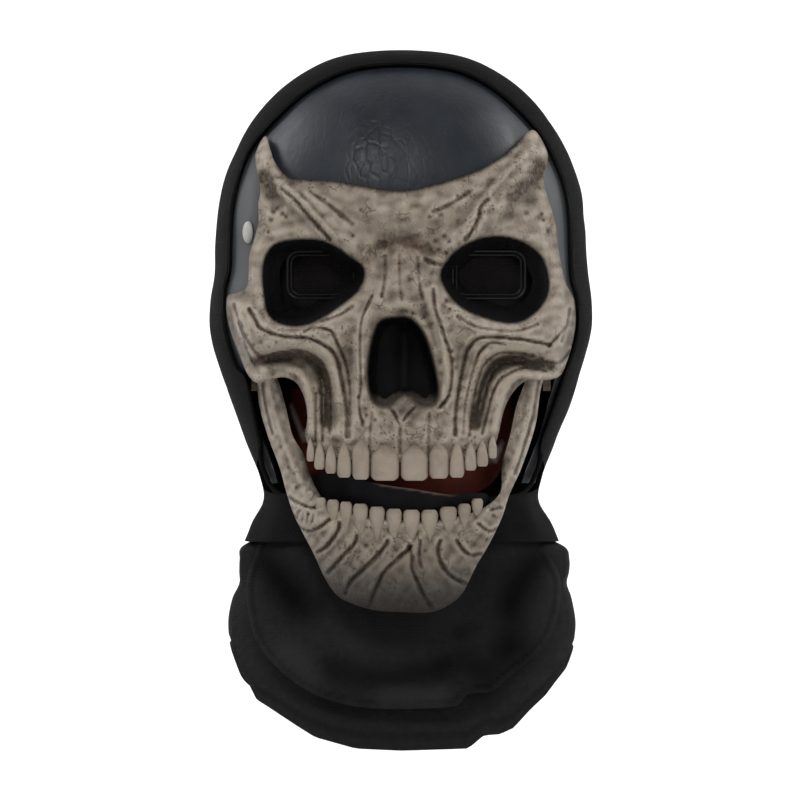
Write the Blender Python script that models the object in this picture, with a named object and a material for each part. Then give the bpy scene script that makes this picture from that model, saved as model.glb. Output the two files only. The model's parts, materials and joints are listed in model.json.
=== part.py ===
"""Hooded skull mask with a hinged jaw: separate pieces in metres, +Z up, front towards -Y.

The origin is the seat of the crown, where a head touches the inside of the cap.
Tables and sizes are in millimetres and become metres when a mesh is made.
"""
import math

import bpy
import numpy as np
from mathutils import Matrix, Vector
from mathutils.geometry import delaunay_2d_cdt

MM = 0.001
GAP = 0.4
CROWN_TOP = 5.6
CLOTH = 1.6
CAP_WALL = 3.1
CAP_INSET = CLOTH + 0.9
BONE_WALL = 3.0
JAW_WALL = 3.5
LINING_WALL = 2.0
LINING_SEAT = 0.8
FACE_CENTRE = 1.5
OVAL = 2.2
HOOD_COLUMNS = 26
CAPE_COLUMNS = 32
FACE_SPACING = 6.6
JAW_SPACING = 6.6
LENS_SPACING = 9.0
LINING_SPACING = 12.0
BIB_SPACING = 10.5
# Half width of the round body that each flat mesh is unrolled from, for even triangles at its sides.
FACE_TURN, JAW_TURN, NECK_TURN, MOUTH_TURN, LINING_TURN = 92.0, 76.0, 84.0, 70.0, 60.0
DOME_HEIGHTS = np.concatenate([CROWN_TOP - np.linspace(0.45, 5.4, 6) ** 2, np.linspace(-41.0, -221.0, 10)])
SOCKET_WALL = 7.0
SOCKET_RIM = 1.5
SOCKET_FLOOR_Y, SOCKET_SLANT, SOCKET_MIDDLE = -84.0, 0.42, 42.0
HINGE_Y, HINGE_Z = -22.0, -128.0
HINGE_PIN = 3.0
HINGE_PLAY = 0.35
EDGE_ANGLE = 42.0

# Outside of the hood, from the crown to the hem, with the ear line at y = 0.
HEAD_ROWS = (
    # z, half_width, middle, front, back
    (5.6, 0.0, 6.0, 6.0, 6.0),
    (3.5, 26.0, 6.0, -22.0, 34.0),
    (-5.5, 42.5, 5.0, -45.0, 57.0),
    (-26.5, 68.5, 3.0, -75.0, 86.0),
    (-56.0, 85.5, 1.0, -93.0, 105.0),
    (-80.0, 91.5, 0.0, -97.0, 110.0),
    (-108.0, 93.5, 0.0, -98.0, 109.0),
    (-120.0, 95.5, 0.0, -98.0, 107.0),
    (-133.0, 95.5, 0.0, -97.0, 103.0),
    (-160.0, 88.5, 0.0, -90.0, 90.0),
    (-190.0, 77.5, 0.0, -76.0, 77.0),
    (-208.0, 70.5, 2.0, -65.0, 70.0),
    (-220.0, 67.5, 4.0, -58.0, 68.0),
    (-231.0, 72.5, 4.0, -60.0, 73.0),
    (-240.0, 75.5, 4.0, -62.0, 77.0),
)
HOOD_HEM = -240.0

# Bone face before its forms are added.
FACE_ROWS = (
    # z, half_width, middle, front
    (-30.0, 76.0, 0.0, -84.0),
    (-45.0, 80.0, 0.0, -91.0),
    (-60.0, 87.0, 0.0, -97.0),
    (-75.0, 90.0, -2.0, -101.0),
    (-90.0, 92.0, -4.0, -102.0),
    (-105.0, 93.0, -6.0, -101.0),
    (-120.0, 95.0, -8.0, -101.0),
    (-135.0, 96.0, -10.0, -103.0),
    (-150.0, 94.0, -12.0, -105.0),
    (-160.0, 88.0, -16.0, -107.0),
    (-170.0, 74.0, -30.0, -109.0),
    (-185.0, 64.0, -45.0, -110.0),
    (-200.0, 60.0, -52.0, -110.0),
    (-212.0, 59.0, -54.0, -108.0),
)
# Forms of the bone, each raised or sunk along a line; across is measured from the face's centre line.
FACE_FORMS = (
    # name, height, half_width, line of (across, z)
    ("brow", 8.0, 7.5, ((69, -42), (60, -62), (48, -73), (35, -83), (24, -92))),
    ("horn", 3.0, 5.0, ((70, -48), (70, -62), (70, -80), (72, -94))),
    ("temple hollow", -4.5, 5.0, ((66, -58), (64, -71))),
    ("brow furrow", -2.5, 4.0, ((59, -70), (46, -83), (36, -90))),
    ("glabella", 4.0, 10.0, ((0, -84), (0, -94))),
    ("nose bridge", 7.0, 9.0, ((0, -100), (0, -122))),
    ("nose side", 5.0, 5.0, ((9, -112), (17, -128), (21, -142), (22, -158))),
    ("cheekbone", 8.0, 8.5, ((26, -130), (40, -138), (58, -140), (74, -136), (86, -124))),
    ("cheek end", 5.0, 6.5, ((83, -132), (80, -145), (72, -156))),
    ("cheek hollow", -6.5, 5.5, ((72, -152), (58, -149), (48, -152), (40, -161), (37, -178))),
    ("arch rim", 3.0, 3.5, ((65, -158), (54, -157), (47, -165), (45, -185))),
    ("side hollow", -3.5, 6.0, ((29, -150), (30, -172))),
    ("gum", 2.5, 6.0, ((0, -186), (20, -187), (38, -187))),
)
# Edge of the bone, clockwise from the left horn as seen from the front.
FACE_EDGE = (
    (-67.5, -38.0), (-65.0, -45.0), (-62.5, -51.5), (-56.0, -58.5), (-48.0, -59.8), (-30.5, -61.0),
    (-15.0, -63.8), (0.0, -65.5), (15.0, -63.0), (29.5, -58.5), (42.0, -53.5), (54.5, -45.0), (61.5, -37.5),
    (67.0, -35.5), (73.0, -46.5), (72.0, -54.0), (71.0, -61.0), (74.5, -73.0), (77.0, -82.0), (79.0, -98.0),
    (82.0, -111.0), (86.0, -119.0), (87.0, -129.5), (86.0, -138.0), (83.5, -148.0), (79.5, -157.0),
    (73.0, -159.5), (64.0, -159.5), (58.5, -162.5), (53.5, -169.0), (50.5, -177.0), (48.5, -186.0),
    (46.0, -192.0), (38.0, -196.5), (20.0, -199.5), (0.0, -200.5), (-20.0, -199.5), (-37.0, -197.0),
    (-44.5, -193.5), (-47.5, -187.0), (-46.5, -178.0), (-48.0, -168.5), (-52.0, -161.0), (-58.5, -158.2),
    (-65.5, -159.5), (-71.5, -161.0), (-76.5, -156.5), (-81.0, -145.5), (-84.5, -136.5), (-86.8, -127.0),
    (-86.5, -118.0), (-81.5, -116.0), (-76.5, -112.5), (-75.5, -98.0), (-73.0, -89.0), (-71.0, -81.0),
    (-71.0, -72.0), (-70.0, -64.0), (-72.5, -50.5), (-71.5, -44.0),
)
LEFT_SOCKET = (
    (-68.5, -100.5), (-63.0, -92.0), (-50.5, -89.5), (-37.0, -90.8), (-25.5, -98.0), (-18.0, -104.5),
    (-20.5, -114.5), (-31.5, -124.0), (-45.5, -132.0), (-57.0, -132.5), (-66.0, -127.5), (-69.0, -112.0),
)
RIGHT_SOCKET = (
    (20.0, -104.5), (29.5, -93.5), (44.5, -88.0), (59.0, -90.0), (70.0, -98.0), (74.0, -112.0),
    (70.0, -123.0), (59.0, -131.0), (45.0, -130.0), (29.5, -123.5), (21.0, -113.0),
)
NOSE_HOLE = (
    (-10.5, -129.0), (-2.0, -127.3), (5.0, -128.0), (12.0, -136.0), (16.5, -148.5), (19.5, -164.0),
    (17.5, -172.5), (9.0, -173.5), (2.0, -168.5), (-6.0, -174.0), (-14.5, -171.5), (-17.5, -159.0),
    (-16.5, -145.0), (-14.0, -134.5),
)
NOSE_FLOOR = -86.0
NOSE_WALL = 4.0

UPPER_TEETH = (
    # left, right, root z, tip z
    (-46.5, -43.2, -187.0, -200.0),
    (-42.8, -38.0, -189.0, -204.0),
    (-37.4, -32.2, -188.0, -206.0),
    (-31.6, -24.8, -186.0, -208.0),
    (-24.0, -15.8, -186.0, -209.0),
    (-14.8, -1.2, -187.0, -209.5),
    (0.2, 13.2, -187.0, -209.5),
    (14.2, 23.4, -186.0, -208.5),
    (24.2, 31.2, -186.0, -208.0),
    (31.8, 37.2, -188.0, -204.5),
    (37.8, 43.0, -188.0, -202.5),
    (43.5, 47.3, -185.0, -198.5),
)
TOOTH_SIDES = 6
TOOTH_SECTIONS = (
    # share of the way to the tip, width, depth
    (0.0, 0.8, 0.75),
    (0.45, 1.0, 1.0),
    (0.85, 1.05, 0.8),
    (1.0, 0.85, 0.4),
)
# Height of the gum line, how far the teeth stand before it, and their thickness, for each row of teeth.
UPPER_GUM_Z, UPPER_TEETH_PROUD, UPPER_TOOTH_DEPTH = -196.0, 3.2, 7.5
LOWER_GUM_Z, LOWER_TEETH_PROUD, LOWER_TOOTH_DEPTH = -232.0, 2.6, 6.5
LOWER_TEETH = (
    # left, right, tip z, root z
    (-37.0, -31.0, -218.5, -231.0),
    (-30.2, -25.0, -219.5, -233.0),
    (-24.3, -16.6, -221.0, -236.0),
    (-15.4, -7.8, -223.0, -239.0),
    (-6.8, 0.4, -224.0, -239.0),
    (1.2, 10.2, -225.0, -239.5),
    (11.0, 20.2, -225.3, -238.5),
    (21.4, 30.6, -223.5, -235.0),
    (31.4, 38.4, -221.0, -231.5),
)

JAW_ROWS = (
    # z, half_width, middle, front
    (-140.0, 78.0, -21.0, -82.0),
    (-150.0, 77.0, -23.0, -84.0),
    (-165.0, 74.0, -27.0, -90.0),
    (-187.0, 68.5, -34.0, -97.0),
    (-212.0, 61.0, -40.0, -99.0),
    (-225.0, 57.0, -43.0, -98.5),
    (-240.0, 49.5, -47.0, -96.5),
    (-255.0, 42.5, -52.0, -94.0),
    (-266.0, 37.0, -56.0, -91.0),
    (-276.0, 33.0, -60.0, -84.0),
)
JAW_FORMS = (
    # name, height, half_width, line of (across, z)
    ("chin", 4.0, 14.0, ((0, -256), (9, -262))),
    ("jaw corner", 3.5, 8.0, ((50, -214), (42, -234))),
    ("tooth bed", -2.5, 5.0, ((40, -238), (24, -243), (0, -246))),
)
JAW_EDGE = (
    (-74.0, -151.0), (-72.0, -161.0), (-70.5, -173.0), (-66.5, -187.0), (-60.5, -203.0), (-57.5, -214.0),
    (-54.0, -225.0), (-49.5, -234.5), (-43.5, -246.0), (-38.5, -257.0), (-33.0, -265.5), (-26.5, -270.0),
    (-14.0, -273.8), (0.0, -275.0), (15.0, -275.0), (24.5, -271.0), (31.0, -265.0), (37.5, -252.0),
    (44.0, -241.0), (50.0, -228.5), (54.0, -216.5), (59.5, -204.5), (64.5, -190.5), (67.5, -179.5),
    (69.5, -165.0), (73.0, -151.0), (70.0, -145.0), (65.5, -149.0), (64.5, -161.0), (61.0, -173.0),
    (58.0, -187.0), (54.0, -202.0), (49.5, -215.0), (42.0, -222.5), (30.0, -227.0), (12.0, -229.5),
    (-6.0, -228.5), (-20.0, -226.0), (-32.0, -223.0), (-40.0, -217.0), (-45.5, -206.0), (-51.0, -196.5),
    (-57.5, -187.0), (-60.5, -174.5), (-63.5, -161.0), (-66.0, -149.0), (-70.0, -145.0),
)
CAP_WINDOW = (
    (-60.0, -66.0), (-30.0, -69.0), (0.0, -73.0), (30.0, -67.0), (54.0, -56.0), (64.0, -66.0),
    (70.0, -84.0), (75.0, -100.0), (78.0, -116.0), (79.0, -140.0), (77.0, -158.0), (73.5, -170.0),
    (70.0, -184.0), (64.5, -199.0), (60.0, -212.0), (60.0, -232.0), (-60.0, -232.0), (-61.5, -212.0),
    (-66.0, -197.0), (-71.5, -182.0), (-75.5, -167.0), (-78.5, -152.0), (-78.5, -128.0), (-72.5, -113.0),
    (-70.5, -98.0), (-65.0, -80.0),
)
CAP_BACK = 24.0
CAP_LOW = -211.0
CHIN_HALF_WIDTH, CHIN_TOP = 59.0, -150.0
FAR = 300.0
HOOD_WINDOW = (
    (0.0, -2.0), (26.0, -4.5), (45.5, -13.5), (63.5, -29.5), (74.8, -45.5), (83.5, -71.0), (85.2, -108.0),
    (88.2, -118.5), (88.3, -136.0), (81.5, -158.0), (70.5, -189.5), (60.0, -217.0), (-61.0, -217.0),
    (-70.5, -189.5), (-77.5, -159.5), (-82.5, -153.5), (-88.0, -133.5), (-88.4, -115.0), (-85.8, -105.0),
    (-85.5, -91.5), (-84.0, -71.0), (-78.0, -49.5), (-70.0, -37.0), (-57.5, -24.0), (-43.5, -13.0),
    (-24.5, -4.5),
)

BIB_ROWS = (
    # z, half_width, middle, front
    (-224.0, 66.0, 4.0, -54.5),
    (-238.0, 72.0, 3.0, -57.0),
    (-247.0, 77.5, 1.0, -58.5),
    (-262.0, 82.0, 0.0, -60.0),
    (-278.0, 83.0, -2.0, -62.0),
    (-292.0, 84.0, -4.0, -68.0),
    (-306.0, 84.0, -6.0, -74.0),
    (-325.0, 84.0, -8.0, -77.0),
)
BIB_EDGE = (
    (-60.0, -226.0), (0.0, -226.0), (60.0, -226.0), (69.5, -236.0), (74.0, -247.0), (79.5, -258.0),
    (79.0, -273.5), (74.0, -288.0), (66.0, -297.5), (53.0, -308.0), (45.0, -314.5), (33.0, -316.0),
    (28.0, -321.5), (10.0, -323.0), (-12.0, -323.0), (-30.0, -320.5), (-46.0, -314.5), (-60.0, -304.5),
    (-72.0, -290.0), (-76.5, -273.5), (-77.0, -259.0), (-73.0, -247.0), (-69.5, -236.0),
)
CAPE_ROWS = (
    # z, half_width, middle, front, back
    (-226.0, 62.5, 8.0, -48.5, 62.0),
    (-238.0, 68.0, 9.0, -49.5, 68.0),
    (-243.0, 74.5, 12.0, -49.0, 72.0),
    (-249.0, 80.5, 14.0, -49.0, 76.0),
    (-255.0, 81.5, 14.0, -49.5, 78.0),
    (-261.0, 79.5, 14.0, -50.0, 79.0),
    (-268.0, 84.5, 13.0, -51.0, 82.0),
    (-278.0, 86.5, 12.0, -53.0, 85.0),
    (-292.0, 86.0, 10.0, -58.0, 88.0),
    (-306.0, 85.5, 6.0, -65.0, 90.0),
    (-325.0, 85.0, 4.0, -70.0, 90.0),
    (-345.0, 85.0, 3.0, -76.0, 89.0),
)
CAPE_TOP = -227.0
CAPE_HEM = (
    # x, z along the front of the hem
    (-85.0, -291.0), (-79.0, -305.0), (-70.0, -316.0), (-56.0, -328.0), (-40.0, -337.5), (-20.0, -343.0),
    (0.0, -344.0), (31.0, -343.0), (39.0, -336.5), (47.0, -336.0), (54.0, -333.0), (63.5, -324.0),
    (72.0, -317.0), (82.0, -304.0), (86.5, -291.0),
)
CAPE_HALF_WIDTH, CAPE_SIDE_HEM, CAPE_BACK_DROP = 86.0, -291.0, 38.0
CLOTH_FOLDS = (
    # name, height, half_width, line of (x, z)
    ("left tuck", -4.0, 6.0, ((-66, -246), (-52, -268))),
    ("right tuck", -4.0, 6.0, ((68, -246), (52, -268))),
    ("right hollow", -4.0, 8.0, ((30, -284), (46, -294), (56, -303))),
    ("front hollow", -3.0, 6.0, ((-32, -303), (0, -306), (18, -303))),
    ("left swell", 3.0, 7.0, ((-58, -300), (-44, -306))),
    ("hem swell", 2.5, 6.0, ((-8, -316), (20, -316))),
)


class Table:
    """Rows with named columns, read by smooth interpolation over the first column."""

    def __init__(self, names, rows, key=lambda value: -value):
        self.key = key
        columns = np.array(rows, float).T
        self.at = self.key(columns[0])
        self.columns = dict(zip(names.split(), columns[1:]))

    def read(self, name, z):
        """The named column at the heights z, on a curve through the rows."""
        values = self.columns[name]
        slopes = np.gradient(values, self.at)
        place = np.clip(self.key(np.asarray(z, float)), self.at[0], self.at[-1])
        row = np.clip(np.searchsorted(self.at, place) - 1, 0, len(self.at) - 2)
        step = self.at[row + 1] - self.at[row]
        t = (place - self.at[row]) / step
        start = values[row] * (1 + 2 * t) * (1 - t) ** 2 + step * slopes[row] * t * (1 - t) ** 2
        end = values[row + 1] * t * t * (3 - 2 * t) + step * slopes[row + 1] * t * t * (t - 1)
        return start + end


def below_crown(z):
    """Root of the distance below the crown, over which a dome's width grows evenly."""
    return np.sqrt(np.maximum(CROWN_TOP - z, 0.0))


HEAD = Table("half_width middle front back", HEAD_ROWS, below_crown)
FACE = Table("half_width middle front", FACE_ROWS)
JAW = Table("half_width middle front", JAW_ROWS)
BIB = Table("half_width middle front", BIB_ROWS)
CAPE = Table("half_width middle front back", CAPE_ROWS)


def front_of(table, x, z, inset=0.0):
    """The y of a section's front half at x, with the section drawn in by inset."""
    width = table.read("half_width", z)
    slope = (table.read("half_width", z + 1.0) - table.read("half_width", z - 1.0)) / 2.0
    drawn_in = inset * np.sqrt(1.0 + slope ** 2)
    middle = table.read("middle", z)
    across = np.clip(np.abs(x) / (width - drawn_in), 0.0, 0.995)
    depth = middle - table.read("front", z) - drawn_in
    return middle - depth * (1.0 - across ** OVAL) ** (1.0 / OVAL)


def steepness(y_of, x, z):
    """Length of surface for each unit of the front view, for the height field y_of."""
    step = 0.5
    dx = (y_of(x + step, z) - y_of(x - step, z)) / (2 * step)
    dz = (y_of(x, z + step) - y_of(x, z - step)) / (2 * step)
    return np.sqrt(1.0 + dx ** 2 + dz ** 2)


def ease(value):
    """Smooth step from 0 to 1."""
    value = np.clip(value, 0.0, 1.0)
    return value * value * (3 - 2 * value)


def rounded(points, spacing, closed=True):
    """Points about spacing apart on a smooth curve through the given points."""
    points = np.array(points, float)
    count = len(points)
    found = []
    for i in range(count if closed else count - 1):
        if closed:
            before, start, end, after = (points[(i + k) % count] for k in (-1, 0, 1, 2))
        else:
            before, start, end, after = (points[min(max(i + k, 0), count - 1)] for k in (-1, 0, 1, 2))
        steps = max(1, round(float(np.linalg.norm(end - start)) / spacing))
        for t in np.arange(steps) / steps:
            found.append(0.5 * (2 * start + (end - before) * t
                                + (2 * before - 5 * start + 4 * end - after) * t ** 2
                                + (3 * start - before - 3 * end + after) * t ** 3))
    if not closed:
        found.append(points[-1])
    return np.array(found)


def distance_to(points, line, closed=False):
    """Distance of each point to a line of straight runs."""
    line = np.array(line, float)
    ends = np.roll(line, -1, axis=0) if closed else line[1:]
    nearest = np.full(len(points), np.inf)
    for start, end in zip(line, ends):
        run = end - start
        t = np.clip((points - start) @ run / max(run @ run, 1e-12), 0.0, 1.0)
        gap = points - start - t[:, None] * run
        nearest = np.minimum(nearest, np.einsum("ij,ij->i", gap, gap))
    return np.sqrt(nearest)


def inside(points, loop):
    """Whether each point lies within a closed loop."""
    hit = np.zeros(len(points), bool)
    for start, end in zip(loop, np.roll(loop, -1, axis=0)):
        crosses = (start[1] > points[:, 1]) != (end[1] > points[:, 1])
        if start[1] != end[1]:
            at = start[0] + (points[:, 1] - start[1]) * (end[0] - start[0]) / (end[1] - start[1])
            hit ^= crosses & (points[:, 0] < at)
    return hit


def depth_inside(x, z, loop):
    """Distance within a loop, negative outside it."""
    points = np.column_stack([x, z])
    away = distance_to(points, loop, closed=True)
    return np.where(inside(points, loop), away, -away)


def forms(x, z, rows, centre=None):
    """Sum of the raised and sunk forms; with a centre, each form stands on both sides of it."""
    points = np.column_stack([np.abs(x - centre) if centre is not None else x, z])
    total = np.zeros(len(points))
    for _, height, half_width, line in rows:
        away = distance_to(points, rounded(line, half_width, closed=False))
        total += height * np.exp(-(away / half_width) ** 2)
    return total


def loop_inset(loop, inset, spacing):
    """A loop drawn in by inset, found outwards from the loop's middle."""
    middle = loop.mean(axis=0)
    around = max(12, round(2 * math.pi * float(np.linalg.norm(loop - middle, axis=1).mean()) / spacing))
    found = []
    for angle in np.arange(around) * 2 * math.pi / around:
        ray = np.array((math.cos(angle), math.sin(angle)))
        reach = np.arange(0.0, 60.0, 0.5)
        points = middle + reach[:, None] * ray
        within = depth_inside(points[:, 0], points[:, 1], loop) > inset
        found.append(points[max(int(np.argmin(within)) - 1, 0)])
    return np.array(found)


def flat_mesh(outline, holes, lines, spacing, turn):
    """Triangles that fill an outline apart from its holes, even over a surface that turns away at turn."""
    def unroll(points):
        return np.column_stack([turn * np.arcsin(points[:, 0] / turn), points[:, 1]])

    loops = [unroll(rounded(loop, spacing)) for loop in (outline, *holes, *lines)]
    edge, cuts = loops[0], loops[1:1 + len(holes)]
    low, high = edge.min(axis=0), edge.max(axis=0)
    rows = np.arange(low[1], high[1], spacing * math.sqrt(0.75))
    columns = np.arange(low[0], high[0], spacing)
    grid = np.array([(q + (i % 2) * spacing / 2, z) for i, z in enumerate(rows) for q in columns])
    keep = inside(grid, edge)
    for loop in loops:
        keep &= distance_to(grid, loop, closed=True) > spacing * 0.55
    for cut in cuts:
        keep &= ~inside(grid, cut)
    points = np.vstack([*loops, grid[keep]])
    edges = []
    for start, loop in zip(np.cumsum([0] + [len(one) for one in loops]), loops):
        edges += [(int(start + k), int(start + (k + 1) % len(loop))) for k in range(len(loop))]
    found = delaunay_2d_cdt([tuple(point) for point in points], edges, [], 0, 1e-5)
    verts = np.array([tuple(point) for point in found[0]])
    faces = np.array([face for face in found[2] if len(face) == 3])
    middles = verts[faces].mean(axis=1)
    wanted = inside(middles, edge)
    for cut in cuts:
        wanted &= ~inside(middles, cut)
    faces = faces[wanted]
    used = np.unique(faces)
    faces = np.searchsorted(used, faces)
    verts = verts[used]
    a, b, c = (verts[faces[:, k]] for k in range(3))
    turned = (b[:, 0] - a[:, 0]) * (c[:, 1] - a[:, 1]) - (b[:, 1] - a[:, 1]) * (c[:, 0] - a[:, 0]) < 0
    faces[turned] = faces[turned][:, ::-1]
    return turn * np.sin(verts[:, 0] / turn), verts[:, 1], faces


def make_object(name, verts, faces, material):
    """An object from points in millimetres and faces."""
    mesh = bpy.data.meshes.new(name)
    mesh.from_pydata([tuple(point * MM) for point in np.asarray(verts, float)], [],
                     [tuple(int(i) for i in face) for face in faces])
    mesh.validate()
    obj = bpy.data.objects.new(name, mesh)
    bpy.context.collection.objects.link(obj)
    if material:
        mesh.materials.append(material)
    return obj


def plate(name, flat, front_y, back_y, material):
    """A closed wall over a flat mesh, from its front surface to its back surface."""
    x, z, faces = flat
    count = len(x)
    verts = np.vstack([np.column_stack([x, front_y, z]), np.column_stack([x, back_y, z])])
    runs = {(int(f[k]), int(f[(k + 1) % 3])) for f in faces for k in range(3)}
    rim = [(b, a, a + count, b + count) for a, b in sorted(runs) if (b, a) not in runs]
    walls = [tuple(f) for f in faces] + [tuple(f[::-1] + count) for f in faces] + rim
    return make_object(name, verts, walls, material)


def prism(name, outline, y_from, y_to, material=None):
    """A straight block along Y with the given outline; without a material it is a cutter."""
    count = len(outline)
    verts = [(x, y, z) for y in (y_from, y_to) for x, z in outline]
    area = sum(a[0] * b[1] - b[0] * a[1] for a, b in zip(outline, np.roll(outline, -1, axis=0)))
    order = list(range(count)) if area > 0 else list(range(count))[::-1]
    faces = [tuple(order), tuple(i + count for i in order[::-1])]
    faces += [(b, a, a + count, b + count) for a, b in zip(order, order[1:] + order[:1])]
    obj = make_object(name, verts, faces, material)
    if material is None:
        obj.hide_render = True
        obj.display_type = "WIRE"
    return obj


def boolean(obj, operand, operation="DIFFERENCE"):
    """Cut or join with another closed object, and drop the other one."""
    bpy.context.view_layer.update()
    modifier = obj.modifiers.new(operation.title(), "BOOLEAN")
    modifier.operation = operation
    modifier.solver = "EXACT"
    modifier.object = operand
    result = bpy.data.meshes.new_from_object(obj.evaluated_get(bpy.context.evaluated_depsgraph_get()))
    obj.modifiers.remove(modifier)
    obj.data = result
    bpy.data.objects.remove(operand)


def ring(table, z, inset, around=HOOD_COLUMNS):
    """One section of a hood or cape, drawn in along its normal by inset; z may differ round it."""
    angle = np.arange(around) * 2 * math.pi / around
    z = np.broadcast_to(np.asarray(z, float), angle.shape)
    step = 0.05 if table is HEAD else 1.0
    higher = np.minimum(z + step, CROWN_TOP)
    slope = (table.read("half_width", higher) - table.read("half_width", z - step)) / (higher - z + step)
    outwards = 1.0 / np.sqrt(1.0 + slope ** 2)
    inset_across = inset * outwards
    inset_up = -inset * slope * outwards
    width = np.maximum(table.read("half_width", z) - inset_across, 0.0)
    middle = table.read("middle", z)
    to_front = np.maximum(middle - table.read("front", z) - inset_across, 0.0)
    to_back = np.maximum(table.read("back", z) - middle - inset_across, 0.0)
    sine, cosine = np.sin(angle), np.cos(angle)
    x = width * np.sign(sine) * np.abs(sine) ** (2 / OVAL)
    reach = np.where(cosine > 0, to_front, to_back)
    y = middle - reach * np.sign(cosine) * np.abs(cosine) ** (2 / OVAL)
    return np.column_stack([x, y, z - inset_up])


def shell(name, outer, inner, material, crown=None):
    """A wall between two stacks of rings, open below; crown holds the two heights of a closed top."""
    closed_top = crown is not None
    around = len(outer[0])
    levels = len(outer)
    verts = np.vstack([*outer, *inner])

    def at(side, level, k):
        return (side * levels + level) * around + k % around

    faces = []
    for k in range(around):
        for level in range(levels - 1):
            faces.append((at(0, level, k), at(0, level + 1, k), at(0, level + 1, k + 1), at(0, level, k + 1)))
            faces.append((at(1, level, k), at(1, level, k + 1), at(1, level + 1, k + 1), at(1, level + 1, k)))
        last = levels - 1
        faces.append((at(0, last, k), at(1, last, k), at(1, last, k + 1), at(0, last, k + 1)))
        if not closed_top:
            faces.append((at(0, 0, k), at(0, 0, k + 1), at(1, 0, k + 1), at(1, 0, k)))
    if closed_top:
        poles = len(verts)
        top_y = outer[0][:, 1].mean()
        verts = np.vstack([verts, (0, top_y, crown[0]), (0, top_y, crown[1])])
        for k in range(around):
            faces.append((poles, at(0, 0, k), at(0, 0, k + 1)))
            faces.append((poles + 1, at(1, 0, k + 1), at(1, 0, k)))
    return make_object(name, verts, faces, material)


def signed_power(value, power):
    """A power of a value's size, with the value's sign."""
    return math.copysign(abs(value) ** power, value)


def tooth(left, right, root, tip, front, depth, material):
    """One tooth: rounded sections from the root to a slightly narrower biting edge."""
    sides = TOOTH_SIDES
    middle, half = (left + right) / 2, (right - left) / 2
    verts = []
    for share, wide, deep in TOOTH_SECTIONS:
        for k in range(sides):
            angle = (k + 0.5) * 2 * math.pi / sides
            x = middle + half * wide * signed_power(math.cos(angle), 0.6)
            y = front + depth / 2 * (1.0 + deep * signed_power(math.sin(angle), 0.7))
            verts.append((x, y, root + (tip - root) * share))
    upward = tip > root
    faces = []
    for row in range(len(TOOTH_SECTIONS) - 1):
        for k in range(sides):
            a, b = row * sides + k, row * sides + (k + 1) % sides
            quad = (a, b, b + sides, a + sides)
            faces.append(quad if upward else quad[::-1])
    last_row = (len(TOOTH_SECTIONS) - 1) * sides
    first, last = tuple(range(sides)), tuple(range(last_row, last_row + sides))
    faces.append(first[::-1] if upward else first)
    faces.append(last if upward else last[::-1])
    return make_object("Tooth", verts, faces, material)


def material(name, colour, roughness, metallic=0.0):
    """A Principled surface of one colour."""
    made = bpy.data.materials.new(name)
    made.use_nodes = True
    shader = made.node_tree.nodes["Principled BSDF"]
    shader.inputs["Base Color"].default_value = (*colour, 1.0)
    shader.inputs["Roughness"].default_value = roughness
    shader.inputs["Metallic"].default_value = metallic
    return made


BLACK_CLOTH = material("black knit", (0.006, 0.006, 0.006), 0.9)
DARK_SHELL = material("dark moulded shell", (0.022, 0.026, 0.033), 0.35)
BONE = material("painted bone", (0.27, 0.22, 0.17), 0.6)
DARK_MESH = material("dark lens mesh", (0.008, 0.008, 0.009), 0.5)
RED_LINING = material("red brown lining", (0.06, 0.02, 0.012), 0.8)
CREAM = material("cream stud", (0.42, 0.41, 0.38), 0.5)
STEEL = material("pin steel", (0.35, 0.35, 0.36), 0.35, 1.0)


def socket_loops():
    """The two eye sockets as smooth loops."""
    return rounded(LEFT_SOCKET, 3.0), rounded(RIGHT_SOCKET, 3.0)


def socket_floor(x):
    """The slanted plane at the back of the eye sockets."""
    return SOCKET_FLOOR_Y + SOCKET_SLANT * (np.abs(x - FACE_CENTRE) - SOCKET_MIDDLE)


def cap_front(x, z):
    """The outer face of the cap, which carries the bone."""
    return front_of(HEAD, x, z, CAP_INSET)


def face_front(x, z):
    """The front of the bone face: its sections, its forms, the sockets, the nose and the edge on the cap."""
    y = front_of(FACE, x, z) - forms(x, z, FACE_FORMS, FACE_CENTRE)
    edge = rounded(FACE_EDGE, 4.0)
    from_edge = depth_inside(x, z, edge)
    resting = cap_front(x, z) - (BONE_WALL + 1.0) * np.minimum(steepness(cap_front, x, z), 3.5)
    on_cap = ease((z + 160.0) / 14.0)
    y = y + (resting - y) * on_cap * (1.0 - ease(from_edge / 9.0))
    for loop in socket_loops():
        within = depth_inside(x, z, loop)
        y = y - 2.5 * np.exp(-((within + 3.5) / 3.0) ** 2)
        y = y + (socket_floor(x) - y) * ease((within + 0.5) / SOCKET_WALL)
    nose = depth_inside(x, z, rounded(NOSE_HOLE, 3.0))
    return y + (NOSE_FLOOR - y) * ease((nose + 0.5) / NOSE_WALL)


def face_back(x, z, y):
    """The back of the bone face, clear of the cap it sits on."""
    wall = BONE_WALL * np.minimum(steepness(face_front, x, z), 2.0)
    carried = z > -161.0
    clear = cap_front(x, z) - GAP * 1.6 * np.minimum(steepness(cap_front, x, z), 3.5)
    near_edge = depth_inside(x, z, rounded(FACE_EDGE, 4.0)) < 14.0
    return np.where(carried & near_edge, np.minimum(y + wall, clear), y + wall)


def build_hood():
    """Black cloth hood: a crown, sides and neck with the face left open."""
    heights = np.concatenate([DOME_HEIGHTS, (-227.5, -234.0, HOOD_HEM)])
    outer = [ring(HEAD, z, 0.0) for z in heights]
    inner = [ring(HEAD, z, CLOTH) for z in heights]
    hood = shell("hood", outer, inner, BLACK_CLOTH, (CROWN_TOP, CROWN_TOP - CLOTH))
    boolean(hood, prism("Hood window", rounded(HOOD_WINDOW, 7.0), -160.0, -1.0))
    return hood


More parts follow.
